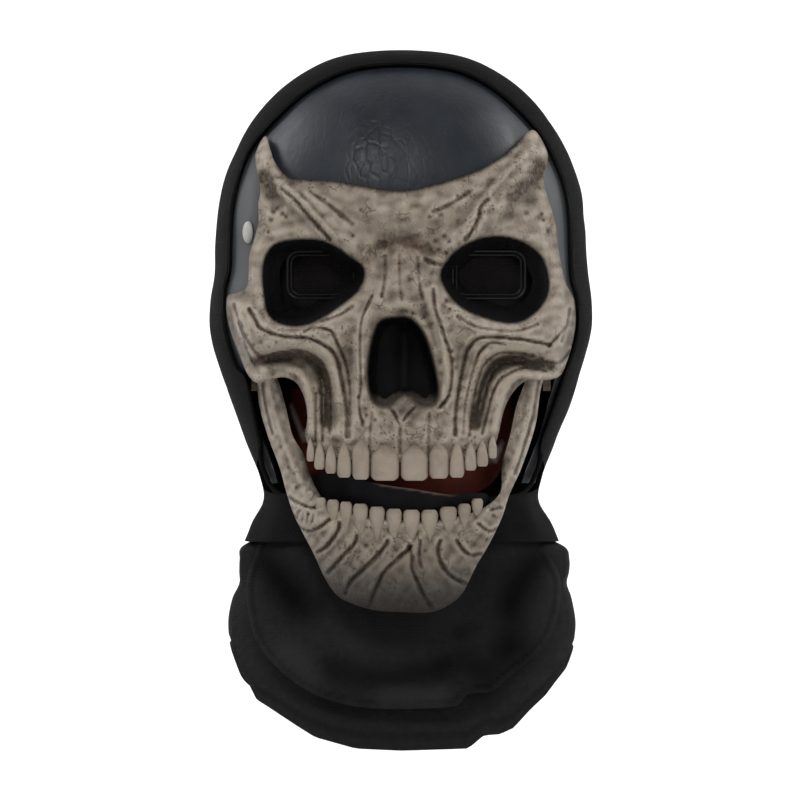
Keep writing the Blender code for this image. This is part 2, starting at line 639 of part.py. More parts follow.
def box_outline(half_width, low, high):
    """An upright box about x = 0 as an outline of (x, z)."""
    return np.array(((-half_width, low), (half_width, low), (half_width, high), (-half_width, high)))


def build_cap():
    """Dark moulded cap: forehead, temples and cheek sides, open behind and where the bone face goes."""
    outer = [ring(HEAD, z, CAP_INSET) for z in DOME_HEIGHTS]
    inner = [ring(HEAD, z, CAP_INSET + CAP_WALL) for z in DOME_HEIGHTS]
    top = CROWN_TOP - CAP_INSET
    cap = shell("skull_cap", outer, inner, DARK_SHELL, (top, top - CAP_WALL))
    boolean(cap, prism("Face window", rounded(CAP_WINDOW, 9.0), -FAR, -1.0))
    boolean(cap, prism("Back cut", box_outline(FAR, -FAR, FAR), CAP_BACK, FAR))
    boolean(cap, prism("Low cut", box_outline(FAR, -FAR, CAP_LOW), -FAR, FAR))
    boolean(cap, prism("Chin cut", box_outline(CHIN_HALF_WIDTH, -FAR, CHIN_TOP), -FAR, FAR))
    return cap


def build_face():
    """Bone face with the upper teeth moulded on."""
    holes = [loop_inset(loop, SOCKET_WALL + SOCKET_RIM, 4.0) for loop in socket_loops()]
    nose = rounded(NOSE_HOLE, 3.0)
    holes.append(loop_inset(nose, NOSE_WALL + 1.0, 4.0))
    lines = [*socket_loops(), nose]
    x, z, faces = flat_mesh(FACE_EDGE, holes, lines, FACE_SPACING, FACE_TURN)
    y = face_front(x, z)
    face = plate("skull_face", (x, z, faces), y, face_back(x, z, y), BONE)
    for left, right, root, tip in UPPER_TEETH:
        middle = np.array([(left + right) / 2])
        front = float(front_of(FACE, middle, np.array([UPPER_GUM_Z]))[0]) - UPPER_TEETH_PROUD
        boolean(face, tooth(left, right, root, tip, front, UPPER_TOOTH_DEPTH, BONE), "UNION")
    return face


def jaw_front(x, z):
    """The front of the jaw."""
    return front_of(JAW, x, z) - forms(x, z, JAW_FORMS, 0.0)


def jaw_back(x, z):
    """The back of the jaw's wall."""
    return jaw_front(x, z) + JAW_WALL * np.minimum(steepness(jaw_front, x, z), 3.4)


def disc(name, x_from, x_to, radius, surface=None, sides=10):
    """A short round bar along X on the hinge line."""
    turns = np.arange(sides) * 2 * math.pi / sides
    circle = np.column_stack([HINGE_Y + radius * np.cos(turns), HINGE_Z + radius * np.sin(turns)])
    return side_block(name, circle, x_from, x_to, surface)


def side_block(name, outline, x_from, x_to, surface=None):
    """A straight block along X from an outline of (y, z), counter-clockwise as seen from +X.

    Without a surface it is a cutter.
    """
    count = len(outline)
    low, high = min(x_from, x_to), max(x_from, x_to)
    verts = [(x, y, z) for x in (high, low) for y, z in outline]
    faces = [tuple(range(count)), tuple(range(2 * count - 1, count - 1, -1))]
    faces += [((k + 1) % count, k, k + count, (k + 1) % count + count) for k in range(count)]
    obj = make_object(name, verts, faces, surface)
    if surface is None:
        obj.hide_render = True
        obj.display_type = "WIRE"
    return obj


ARM_INNER, ARM_OUTER = 70.8, 74.6
ARM_EYE = 8.0
ARM_FOOT = ((-47.0, -165.0), (-34.0, -165.0))
PIN_HEAD_RADIUS, PIN_HEAD_THICK, PIN_COLLAR_THICK, PIN_REACH = 5.2, 1.8, 2.5, 86.4


def build_jaw():
    """Bone jaw with the lower teeth and its two hidden arms up to the hinge."""
    x, z, faces = flat_mesh(JAW_EDGE, [], [], JAW_SPACING, JAW_TURN)
    jaw = plate("jaw", (x, z, faces), jaw_front(x, z), jaw_back(x, z), BONE)
    for left, right, tip, root in LOWER_TEETH:
        middle = np.array([(left + right) / 2])
        front = float(jaw_front(middle, np.array([LOWER_GUM_Z]))[0]) - LOWER_TEETH_PROUD
        boolean(jaw, tooth(left, right, root, tip, front, LOWER_TOOTH_DEPTH, BONE), "UNION")
    turns = np.linspace(-0.1 * math.pi, 0.9 * math.pi, 11)
    eye = [(HINGE_Y + ARM_EYE * math.cos(t), HINGE_Z + ARM_EYE * math.sin(t)) for t in turns]
    arm = [*ARM_FOOT, *eye]
    for side in (-1, 1):
        boolean(jaw, side_block("Arm", arm, side * ARM_INNER, side * ARM_OUTER, BONE), "UNION")
        hole = HINGE_PIN + HINGE_PLAY
        boolean(jaw, disc("Eye hole", side * (ARM_INNER - 2), side * (ARM_OUTER + 2), hole))
    return jaw


def build_pivots():
    """A headed pin on each side, fixed in the cap, that the jaw's arms turn on."""
    for side, name in ((-1, "left"), (1, "right")):
        inner = side * (ARM_INNER - GAP - PIN_HEAD_THICK)
        pin = disc(f"jaw_pivot_{name}", inner, side * PIN_REACH, HINGE_PIN, STEEL)
        head_end = inner + side * PIN_HEAD_THICK
        boolean(pin, disc("Pin head", inner, head_end, PIN_HEAD_RADIUS, STEEL), "UNION")
        collar = side * (ARM_OUTER + GAP)
        collar_end = collar + side * PIN_COLLAR_THICK
        boolean(pin, disc("Pin collar", collar, collar_end, PIN_HEAD_RADIUS, STEEL), "UNION")


def rounded_box(low, high, radius, steps=3):
    """Outline of a box with round corners."""
    found = []
    corners = ((high[0], high[1], 0), (low[0], high[1], 1), (low[0], low[1], 2), (high[0], low[1], 3))
    for x, z, quarter in corners:
        cx = x - radius if quarter in (0, 3) else x + radius
        cz = z - radius if quarter in (0, 1) else z + radius
        for step in range(steps + 1):
            angle = (quarter + step / steps) * math.pi / 2
            found.append((cx + radius * math.cos(angle), cz + radius * math.sin(angle)))
    return np.array(found)


LENS_FRAMES = {
    # side: low and high corner
    "left": ((-56.5, -119.0), (-21.5, -95.5)),
    "right": ((25.5, -119.0), (61.5, -95.5)),
}
LENS_FRAME_WIDE = 1.8
# How far behind the socket's floor plane the front and the back of a lens frame lie.
LENS_FRAME_FRONT, LENS_FRAME_BACK = 3.2, 7.6


def build_lenses():
    """Dark lens panels behind the sockets, each with a raised frame round its mesh."""
    for (name, (low, high)), loop in zip(LENS_FRAMES.items(), socket_loops()):
        outline = loop_inset(loop, SOCKET_WALL - 2.0, 4.0)
        x, z, faces = flat_mesh(outline, [], [], LENS_SPACING, FACE_TURN)
        y = socket_floor(x) + BONE_WALL * 2.0 + 1.2
        panel = plate(f"eye_mesh_{name}", (x, z, faces), y, y + 1.6, DARK_MESH)
        ring_outer = rounded_box(low, high, 6.0)
        inner_low = (low[0] + LENS_FRAME_WIDE, low[1] + LENS_FRAME_WIDE)
        inner_high = (high[0] - LENS_FRAME_WIDE, high[1] - LENS_FRAME_WIDE)
        ring_inner = rounded_box(inner_low, inner_high, 4.4)
        hole = loop_inset(loop, SOCKET_WALL + SOCKET_RIM + GAP, 4.0)
        frame = lens_frame(ring_outer, ring_inner)
        clip = prism("Hole clip", hole, -130.0, -30.0)
        boolean(frame, clip, "INTERSECT")
        boolean(panel, frame, "UNION")


def lens_frame(outer, inner):
    """A flat ring that stands proud of the socket's slanted floor plane."""
    count = len(outer)
    verts = []
    for loop in (outer, inner):
        for back in (LENS_FRAME_FRONT, LENS_FRAME_BACK):
            y = socket_floor(loop[:, 0]) + back
            verts.append(np.column_stack([loop[:, 0], y, loop[:, 1]]))
    faces = []
    for k in range(count):
        n = (k + 1) % count
        outer_front, outer_back, inner_front, inner_back = (i * count for i in range(4))
        faces.append((outer_front + k, outer_front + n, inner_front + n, inner_front + k))
        faces.append((outer_back + n, outer_back + k, inner_back + k, inner_back + n))
        faces.append((outer_front + n, outer_front + k, outer_back + k, outer_back + n))
        faces.append((inner_front + k, inner_front + n, inner_back + n, inner_back + k))
    return make_object("Lens frame", np.vstack(verts), faces, DARK_MESH)


NOSE_PLATE = (
    (-15, -132), (1, -126), (16, -132), (20, -150), (22, -168),
    (14, -177), (-12, -177), (-20, -168), (-19, -150),
)


def build_nose():
    """Dark plate behind the nose opening, with the bone's septum as a low ridge."""
    x, z, faces = flat_mesh(rounded(NOSE_PLATE, 6.0), [], [], LENS_SPACING, FACE_TURN)
    seat = NOSE_FLOOR + BONE_WALL + 1.4
    septum = 2.0 * np.exp(-((x - FACE_CENTRE) / 3.0) ** 2) * ease((18.0 - np.abs(z + 150.0)) / 4.0)
    plate("nose_mesh", (x, z, faces), seat - septum, np.full(len(x), seat + 2.0), DARK_MESH)


MOUTH_OUTLINE = (
    (-58, -168), (-50, -164), (-30, -168), (-24, -179), (24, -179), (30, -168), (50, -164), (58, -168),
    (54, -192), (44, -212), (20, -219), (-20, -219), (-44, -212), (-54, -192),
)
MOUTH_HALF_WIDTH, MOUTH_SIDE_Y, MOUTH_ROUND = 64.0, -20.0, 52.0
JAW_LINING_OUTLINE = (
    (-42, -208), (-34, -205.5), (-12, -211), (8, -214), (24, -216.5), (42, -216), (43, -224), (30, -234),
    (0, -240), (-27, -234), (-41, -224),
)


def mouth_front(x, z):
    """The front of the mouth lining: against the back of the upper gum, then deep behind the teeth."""
    across = np.minimum(np.abs(x), MOUTH_HALF_WIDTH - 1.0) / MOUTH_HALF_WIDTH
    deep = MOUTH_SIDE_Y - MOUTH_ROUND * (1.0 - across ** OVAL) ** (1.0 / OVAL)
    gum = face_front(x, z) + BONE_WALL * np.minimum(steepness(face_front, x, z), 2.0) + LINING_SEAT / 4
    below_gum = ease((-178.0 - z) / 16.0)
    beside_gum = ease((np.abs(x) - 22.0) / 12.0)
    away = np.maximum(below_gum, beside_gum)
    return gum + (deep - gum) * away


def build_linings():
    """The red-brown lining behind the upper teeth and the black one behind the lower teeth."""
    x, z, faces = flat_mesh(MOUTH_OUTLINE, [], [], LINING_SPACING, MOUTH_TURN)
    y = mouth_front(x, z)
    wall = LINING_WALL * np.minimum(steepness(mouth_front, x, z), 2.2)
    plate("mouth_lining", (x, z, faces), y, y + wall, RED_LINING)
    x, z, faces = flat_mesh(JAW_LINING_OUTLINE, [], [], JAW_SPACING, LINING_TURN)
    slope = steepness(jaw_front, x, z)
    side_teeth = 2.4 * np.exp(-((np.abs(x) - 30.0) / 9.0) ** 2)
    y = jaw_back(x, z) + LINING_SEAT * 1.4 * np.minimum(slope, 2.0) + side_teeth
    plate("jaw_lining", (x, z, faces), y, y + LINING_WALL * np.minimum(slope, 2.0), DARK_SHELL)


def build_stud():
    """Cream stud on the left temple, seated on the cap."""
    centre_x, centre_z, half_wide, half_high, proud = -75.5, -86.0, 3.6, 5.6, 2.4
    rows = (
        # share of the width, share of the height above the cap
        (1.0, 0.0),
        (0.97, 0.55),
        (0.7, 0.95),
    )
    sides = 12
    step = 0.5
    places_x = np.array([centre_x, centre_x + step, centre_x])
    places_z = np.array([centre_z, centre_z, centre_z + step])
    seat_y, beside_y, above_y = cap_front(places_x, places_z)
    along = np.array((1.0, (beside_y - seat_y) / step, 0.0))
    up = np.array((0.0, (above_y - seat_y) / step, 1.0))
    along, up = along / np.linalg.norm(along), up / np.linalg.norm(up)
    normal = np.cross(along, up)
    normal /= np.linalg.norm(normal)
    base = np.array((centre_x, seat_y, centre_z)) + normal * GAP
    verts = []
    for wide, lift in rows:
        for k in range(sides):
            turn = k * 2 * math.pi / sides
            across = along * half_wide * wide * math.cos(turn)
            upwards = up * half_high * wide * math.sin(turn)
            verts.append(base + across + upwards + normal * proud * lift)
    faces = [tuple(range(sides))[::-1], tuple(range((len(rows) - 1) * sides, len(rows) * sides))]
    for row in range(len(rows) - 1):
        for k in range(sides):
            a, b = row * sides + k, row * sides + (k + 1) % sides
            faces.append((a, b, b + sides, a + sides))
    make_object("temple_stud", verts, faces, CREAM)


def build_bib():
    """Front layer of the neck cloth, tucked under the hood's hem."""
    x, z, faces = flat_mesh(BIB_EDGE, [], [], BIB_SPACING, NECK_TURN)
    y = front_of(BIB, x, z) - forms(x, z, CLOTH_FOLDS) * ease((-238.0 - z) / 12.0)
    wall = CLOTH * np.minimum(steepness(lambda px, pz: front_of(BIB, px, pz), x, z), 1.8)
    plate("neck_bib", (x, z, faces), y, y + wall, BLACK_CLOTH)


def hem_height(angle):
    """Height of the cape's hem at an angle from the front."""
    x = CAPE_HALF_WIDTH * np.sin(angle)
    hem = np.array(CAPE_HEM, float)
    front = np.interp(x, hem[:, 0], hem[:, 1])
    back = CAPE_SIDE_HEM - CAPE_BACK_DROP * np.abs(np.cos(angle)) ** 0.8
    return np.where(np.cos(angle) > 0, front, back)


def build_cape():
    """Lower layer of the neck cloth: a tube that widens below the neck and dips in front."""
    angle = np.arange(CAPE_COLUMNS) * 2 * math.pi / CAPE_COLUMNS
    hem = hem_height(angle)
    outer, inner = [], []
    for share in (0.0, 0.12, 0.2, 0.29, 0.4, 0.62, 1.0):
        z = CAPE_TOP + share * (hem - CAPE_TOP)
        for stack, inset in ((outer, 0.0), (inner, CLOTH)):
            points = ring(CAPE, z, inset, CAPE_COLUMNS)
            points[:, 2] = z
            stack.append(points)
    shell("neck_cape", outer, inner, BLACK_CLOTH)


def hang_jaw():
    """Hangs the jaw and its lining from an empty on the hinge's axis."""
    hinge = bpy.data.objects.new("jaw_hinge", None)
    place = Vector((0.0, HINGE_Y, HINGE_Z)) * MM
    hinge.location = place
    bpy.context.collection.objects.link(hinge)
    for name in ("jaw", "jaw_lining"):
        piece = bpy.data.objects[name]
        piece.parent = hinge
        piece.matrix_parent_inverse = Matrix.Translation(-place)


def smooth_round_pieces():
    """Smooth shading on every piece, with edges sharper than EDGE_ANGLE left crisp."""
    for piece in bpy.data.objects:
        if piece.type == "MESH" and not piece.hide_render:
            piece.data.shade_smooth()
            piece.data.set_sharp_from_angle(angle=math.radians(EDGE_ANGLE))


def main():
    for old in list(bpy.data.objects):
        bpy.data.objects.remove(old)
    build_hood()
    build_cap()
    build_face()
    build_jaw()
    build_pivots()
    build_lenses()
    build_nose()
    build_linings()
    build_stud()
    build_bib()
    build_cape()
    hang_jaw()
    smooth_round_pieces()


main()
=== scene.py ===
"""Skull mask, dressed: bone face and hinged jaw on a dark cap, in a black hood with neck cloths.

Tables and sizes are in millimetres, in the frame of the CAD model; meshes are made in metres.
x runs to the viewer's right, z up from the seat of the crown, and the face looks towards -y.
"""
import json
import math

import bpy
import numpy as np
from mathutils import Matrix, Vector
from mathutils.geometry import delaunay_2d_cdt


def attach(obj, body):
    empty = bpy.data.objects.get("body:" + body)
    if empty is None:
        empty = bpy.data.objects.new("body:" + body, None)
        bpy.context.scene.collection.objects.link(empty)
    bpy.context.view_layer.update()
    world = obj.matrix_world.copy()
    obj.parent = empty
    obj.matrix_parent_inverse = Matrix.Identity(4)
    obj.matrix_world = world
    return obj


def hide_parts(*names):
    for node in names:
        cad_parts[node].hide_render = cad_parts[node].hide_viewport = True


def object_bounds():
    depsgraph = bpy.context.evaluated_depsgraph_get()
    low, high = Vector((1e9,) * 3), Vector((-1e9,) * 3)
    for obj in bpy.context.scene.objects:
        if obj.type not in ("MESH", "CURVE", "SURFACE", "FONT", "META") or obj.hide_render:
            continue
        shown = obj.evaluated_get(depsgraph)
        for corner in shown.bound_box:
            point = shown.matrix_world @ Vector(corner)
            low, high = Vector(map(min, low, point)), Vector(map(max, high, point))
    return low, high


bl_info = {
    "name": "Hooded skull mask",
    "version": (1, 0, 0),
    "blender": (4, 5, 0),
    "location": "View3D > Sidebar > Skull mask",
    "description": "Builds the dressed pieces of a hooded skull mask on its CAD frame",
    "category": "Object",
}

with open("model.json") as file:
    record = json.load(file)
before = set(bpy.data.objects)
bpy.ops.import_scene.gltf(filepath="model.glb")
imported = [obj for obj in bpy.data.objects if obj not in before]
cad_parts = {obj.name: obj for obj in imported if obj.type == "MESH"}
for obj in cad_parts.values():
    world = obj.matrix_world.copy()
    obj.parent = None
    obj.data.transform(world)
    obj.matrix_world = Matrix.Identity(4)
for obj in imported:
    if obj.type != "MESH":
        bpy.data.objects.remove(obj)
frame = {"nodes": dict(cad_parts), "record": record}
CAD_BOX = [list(corner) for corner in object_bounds()]
SLOT_COLOUR = {row["slot"]: tuple(row["base_color"]) for row in frame["record"]["materials"]}
HEAD_BODY, JAW_BODY = "head", "jaw"

MM = 0.001
CROWN_TOP = 5.6
CLOTH = 1.6
CAP_WALL = 3.1
CAP_INSET = CLOTH + 0.9
BONE_WALL = 3.0
JAW_WALL = 3.5
LINING_WALL = 2.0
LINING_SEAT = 0.8
FACE_CENTRE = 1.5
OVAL = 2.2
SOCKET_WALL = 7.0
SOCKET_RIM = 1.5
# The back of a socket at its middle, how far it slants back for each unit outwards, and its middle.
SOCKET_FLOOR_Y, SOCKET_SLANT, SOCKET_MIDDLE = -84.0, 0.42, 42.0
HINGE_Y, HINGE_Z = -22.0, -128.0
CAP_BACK = 24.0
CAP_LOW = -211.0
CHIN_HALF_WIDTH, CHIN_TOP = 59.0, -150.0
# Past every side of the mask, for blocks that cut right through it.
FAR = 160.0
FAR_BELOW = -300.0
# The windows of the hood and the cap are cut from the front back to this y.
WINDOW_BACK = -1.0

# Spacing of the points of each finished surface.
FACE_FINE = 0.95
CLOTH_FINE = 2.2
LINING_FINE = 3.0
RIM_FINE = 1.2
HOOD_AROUND, HOOD_DOWN = 132, 120
CAP_AROUND, CAP_DOWN = 120, 80
CAPE_AROUND, CAPE_DOWN = 176, 60
LOOP_FINE = 3.0
SHARP_EDGE = 48.0
# Radius of the drum from which each curved wall is unrolled, so that its points lie evenly.
FACE_TURN, JAW_TURN, MOUTH_TURN, LINING_TURN, NECK_TURN = 92.0, 76.0, 70.0, 60.0, 84.0

# The materials by short names, filled by the first builder.
MATERIALS = {}

# Outside of the hood, from the crown to the hem, with the ear line at y = 0.
HEAD_ROWS = (
    # z, half_width, middle, front, back
    (5.6, 0, 6, 6, 6),
    (3.5, 25.5, 6, -21, 33),
    (-5.5, 48.3, 5, -45, 57),
    (-26.5, 71.8, 3, -75, 86),
    (-56, 87.2, 1, -93, 105),
    (-80, 92, 0, -97, 110),
    (-108, 93.5, 0, -98, 109),
    (-120, 95.5, 0, -98, 107),
    (-133, 95.5, 0, -97, 103),
    (-160, 88.5, 0, -90, 90),
    (-190, 77.5, 0, -76, 77),
    (-208, 70.5, 2, -65, 70),
    (-220, 69, 4, -58, 68),
    (-231, 75, 4, -59.5, 73),
    (-240, 78.5, 4, -60.5, 77),
)
HOOD_HEM = -240

# Bone face before its forms are added.
FACE_ROWS = (
    # z, half_width, middle, front
    (-30, 76, 0, -84),
    (-45, 80, 0, -91),
    (-60, 87, 0, -97),
    (-75, 90, -2, -101),
    (-90, 92, -4, -102),
    (-105, 93, -6, -101),
    (-120, 95, -8, -101),
    (-135, 96, -10, -103),
    (-150, 94, -12, -105),
    (-160, 88, -16, -107),
    (-170, 74, -30, -109),
    (-185, 64, -45, -110),
    (-200, 60, -52, -110),
    (-212, 59, -54, -108),
)
# Forms of the bone, each raised or sunk along a line; across is measured from the face's centre line.
FACE_FORMS = (
    # name, height, half_width, line of (across, z)
    ("brow", 8, 7.5, ((69, -42), (60, -62), (48, -73), (35, -83), (24, -92))),
    ("horn", 3, 5, ((70, -48), (70, -62), (70, -80), (72, -94))),
    ("temple hollow", -4.5, 5, ((66, -58), (64, -71))),
    ("brow furrow", -2.5, 4, ((59, -70), (46, -83), (36, -90))),
    ("glabella", 4, 10, ((0, -84), (0, -94))),
    ("nose bridge", 7, 9, ((0, -100), (0, -122))),
    ("nose side", 5, 5, ((9, -112), (17, -128), (21, -142), (22, -158))),
    ("cheekbone", 8, 8.5, ((26, -130), (40, -138), (58, -140), (74, -136), (86, -124))),
    ("cheek end", 5, 6.5, ((83, -132), (80, -145), (72, -156))),
    ("cheek hollow", -6.5, 5.5, ((72, -152), (58, -149), (48, -152), (40, -161), (37, -178))),
    ("arch rim", 3, 3.5, ((65, -158), (54, -157), (47, -165), (45, -185))),
    ("side hollow", -3.5, 6, ((29, -150), (30, -172))),
    ("gum", 2.5, 6, ((0, -186), (20, -187), (38, -187))),
)
# Edge of the bone, clockwise from the left horn as seen from the front.
FACE_EDGE = (
    (-67.5, -38), (-65, -45), (-62.5, -51.5), (-56, -58.5), (-48, -59.8), (-30.5, -61),
    (-15, -63.8), (0, -65.5), (15, -63), (29.5, -58.5), (42, -53.5), (54.5, -45), (61.5, -37.5),
    (67, -35.5), (73, -46.5), (72, -54), (71, -61), (74.5, -73), (77, -82), (79, -98),
    (82, -111), (86, -119), (87, -129.5), (86, -138), (83.5, -148), (79.5, -157),
    (73, -159.5), (64, -159.5), (58.5, -162.5), (53.5, -169), (50.5, -177), (48.5, -186),
    (46, -192), (38, -196.5), (20, -199.5), (0, -200.5), (-20, -199.5), (-37, -197),
    (-44.5, -193.5), (-47.5, -187), (-46.5, -178), (-48, -168.5), (-52, -161), (-58.5, -158.2),
    (-65.5, -159.5), (-71.5, -161), (-76.5, -156.5), (-81, -145.5), (-84.5, -136.5), (-86.8, -127),
    (-86.5, -118), (-81.5, -116), (-76.5, -112.5), (-75.5, -98), (-73, -89), (-71, -81),
    (-71, -72), (-70, -64), (-72.5, -50.5), (-71.5, -44),
)
LEFT_SOCKET = (
    (-68.5, -100.5), (-63, -92), (-50.5, -89.5), (-37, -90.8), (-25.5, -98), (-18, -104.5),
    (-20.5, -114.5), (-31.5, -124), (-45.5, -132), (-57, -132.5), (-66, -127.5), (-69, -112),
)
RIGHT_SOCKET = (
    (20, -104.5), (29.5, -93.5), (44.5, -88), (59, -90), (70, -98), (74, -112),
    (70, -123), (59, -131), (45, -130), (29.5, -123.5), (21, -113),
)
NOSE_HOLE = (
    (-10.5, -129), (-2, -127.3), (5, -128), (12, -136), (16.5, -148.5), (19.5, -164),
    (17.5, -172.5), (9, -173.5), (2, -168.5), (-6, -174), (-14.5, -171.5), (-17.5, -159),
    (-16.5, -145), (-14, -134.5),
)
NOSE_FLOOR = -86
NOSE_WALL = 4

UPPER_TEETH = (
    # left, right, root z, tip z
    (-46.5, -43.2, -188, -200),
    (-42.8, -38, -189.5, -204),
    (-37.4, -32.2, -190, -206),
    (-31.6, -24.8, -189, -208),
    (-24, -15.8, -188.5, -209),
    (-14.8, -1.2, -192, -209.5),
    (0.2, 13.2, -192, -209.5),
    (14.2, 23.4, -190.5, -208.5),
    (24.2, 31.2, -189, -208),
    (31.8, 37.2, -189.5, -204.5),
    (37.8, 43, -188.5, -202.5),
    (43.5, 47.3, -186, -198.5),
)
LOWER_TEETH = (
    # left, right, tip z, root z
    (-48.5, -43.5, -214, -226),
    (-42.5, -37.5, -218, -229.5),
    (-36.5, -31, -219, -232.5),
    (-30.2, -24.5, -220, -236),
    (-23.8, -16.6, -221, -239),
    (-15.6, -8.2, -222.5, -240.5),
    (-7.2, 0.2, -223.5, -241),
    (1.2, 9.2, -224, -241.5),
    (10.2, 18.2, -224, -240),
    (19.4, 27.6, -222.5, -236.5),
    (28.4, 34.4, -221, -234),
    (35.2, 40.5, -218.5, -230),
)

JAW_ROWS = (
    # z, half_width, middle, front
    (-140, 78, -21, -82),
    (-150, 77, -23, -84),
    (-165, 74, -27, -90),
    (-187, 68.5, -34, -97),
    (-212, 61, -40, -99),
    (-225, 57, -43, -98.5),
    (-240, 49.5, -47, -96.5),
    (-255, 42.5, -52, -94),
    (-266, 37, -56, -91),
    (-276, 33, -60, -84),
)
JAW_FORMS = (
    # name, height, half_width, line of (across, z)
    ("chin", 4, 14, ((0, -256), (9, -262))),
    ("jaw corner", 3.5, 8, ((50, -214), (42, -234))),
    ("tooth bed", -2.5, 5, ((40, -238), (24, -243), (0, -246))),
)
JAW_EDGE = (
    (-74, -151), (-72, -161), (-70.5, -173), (-66.5, -187), (-60.5, -203), (-57.5, -214),
    (-54, -225), (-49.5, -234.5), (-43.5, -246), (-38.5, -257), (-33, -265.5), (-26.5, -270),
    (-14, -273.8), (0, -275), (15, -275), (24.5, -271), (31, -265), (37.5, -252),
    (44, -241), (50, -228.5), (54, -216.5), (59.5, -204.5), (64.5, -190.5), (67.5, -179.5),
    (69.5, -165), (73, -151), (70, -145), (65.5, -149), (61.5, -161), (57.3, -173),
    (54.3, -187), (50.3, -202), (49.5, -215), (42, -222.5), (30, -227), (12, -229.5),
    (-6, -228.5), (-20, -226), (-32, -223), (-40, -217), (-45.5, -206), (-48.5, -196.5),
    (-54, -187), (-57, -174.5), (-60.8, -161), (-66, -149), (-70, -145),
)
CAP_WINDOW = (
    (-60, -66), (-30, -69), (0, -73), (30, -67), (54, -56), (64, -66),
    (70, -84), (75, -100), (78, -116), (79, -140), (77, -158), (73.5, -170),
    (70, -184), (64.5, -199), (60, -212), (60, -232), (-60, -232), (-61.5, -212),
    (-66, -197), (-71.5, -182), (-75.5, -167), (-78.5, -152), (-78.5, -128), (-72.5, -113),
    (-70.5, -98), (-65, -80),
)
HOOD_WINDOW = (
    (0, -2), (26, -4.5), (45.5, -13.5), (63.5, -29.5), (74.8, -45.5), (83.5, -71), (85.2, -108),
    (88.2, -118.5), (88.3, -136), (81.5, -158), (70.5, -189.5), (60, -217), (-61, -217),
    (-70.5, -189.5), (-77.5, -159.5), (-82.5, -153.5), (-88, -133.5), (-88.4, -115), (-85.8, -105),
    (-85.5, -91.5), (-84, -71), (-78, -49.5), (-70, -37), (-57.5, -24), (-43.5, -13),
    (-24.5, -4.5),
)

BIB_ROWS = (
    # z, half_width, middle, front
    (-224, 66, 4, -54.5),
    (-238, 72, 3, -57),
    (-247, 77.5, 1, -58.5),
    (-262, 82, 0, -60),
    (-278, 83, -2, -62),
    (-292, 84, -4, -68),
    (-306, 84, -6, -74),
    (-325, 84, -8, -77),
)
BIB_EDGE = (
    (-60, -226), (0, -226), (60, -226), (69.5, -236), (74, -247), (79.5, -258),
    (79, -273.5), (74, -288), (66, -297.5), (53, -308), (45, -314.5), (33, -316),
    (28, -321.5), (10, -323), (-12, -323), (-30, -320.5), (-46, -314.5), (-60, -304.5),
    (-72, -290), (-76.5, -273.5), (-77, -259), (-73, -247), (-69.5, -236),
)
CAPE_ROWS = (
    # z, half_width, middle, front, back
    (-226, 62.5, 8, -48.5, 62),
    (-238, 72, 9, -49.5, 68),
    (-243, 81, 12, -49, 72),
    (-249, 82.8, 14, -49, 76),
    (-255, 82.8, 14, -49.5, 78),
    (-261, 81.8, 14, -50, 79),
    (-268, 84.5, 13, -51, 82),
    (-278, 86.5, 12, -53, 85),
    (-292, 86, 10, -58, 88),
    (-306, 85.5, 6, -65, 90),
    (-325, 85, 4, -70, 90),
    (-345, 85, 3, -76, 89),
)
CAPE_TOP = -227
CAPE_HEM = (
    # x, z along the front of the hem
    (-85, -291), (-79, -305), (-72, -319), (-56, -328), (-40, -337.5), (-20, -343),
    (0, -344), (31, -343), (39, -336.5), (47, -336), (54, -333), (63.5, -324),
    (72, -317), (82, -304), (86.5, -291),
)
CAPE_BACK_DROP = 38
CLOTH_FOLDS = (
    # name, height, half_width, line of (x, z)
    ("left tuck", -4, 6, ((-66, -246), (-52, -268))),
    ("right tuck", -4, 6, ((68, -246), (52, -268))),
    ("right hollow", -4, 8, ((30, -284), (46, -294), (56, -303))),
    ("front hollow", -3, 6, ((-32, -303), (0, -306), (18, -303))),
    ("left swell", 3, 7, ((-58, -300), (-44, -306))),
    ("hem swell", 2.5, 6, ((-8, -316), (20, -316))),
)

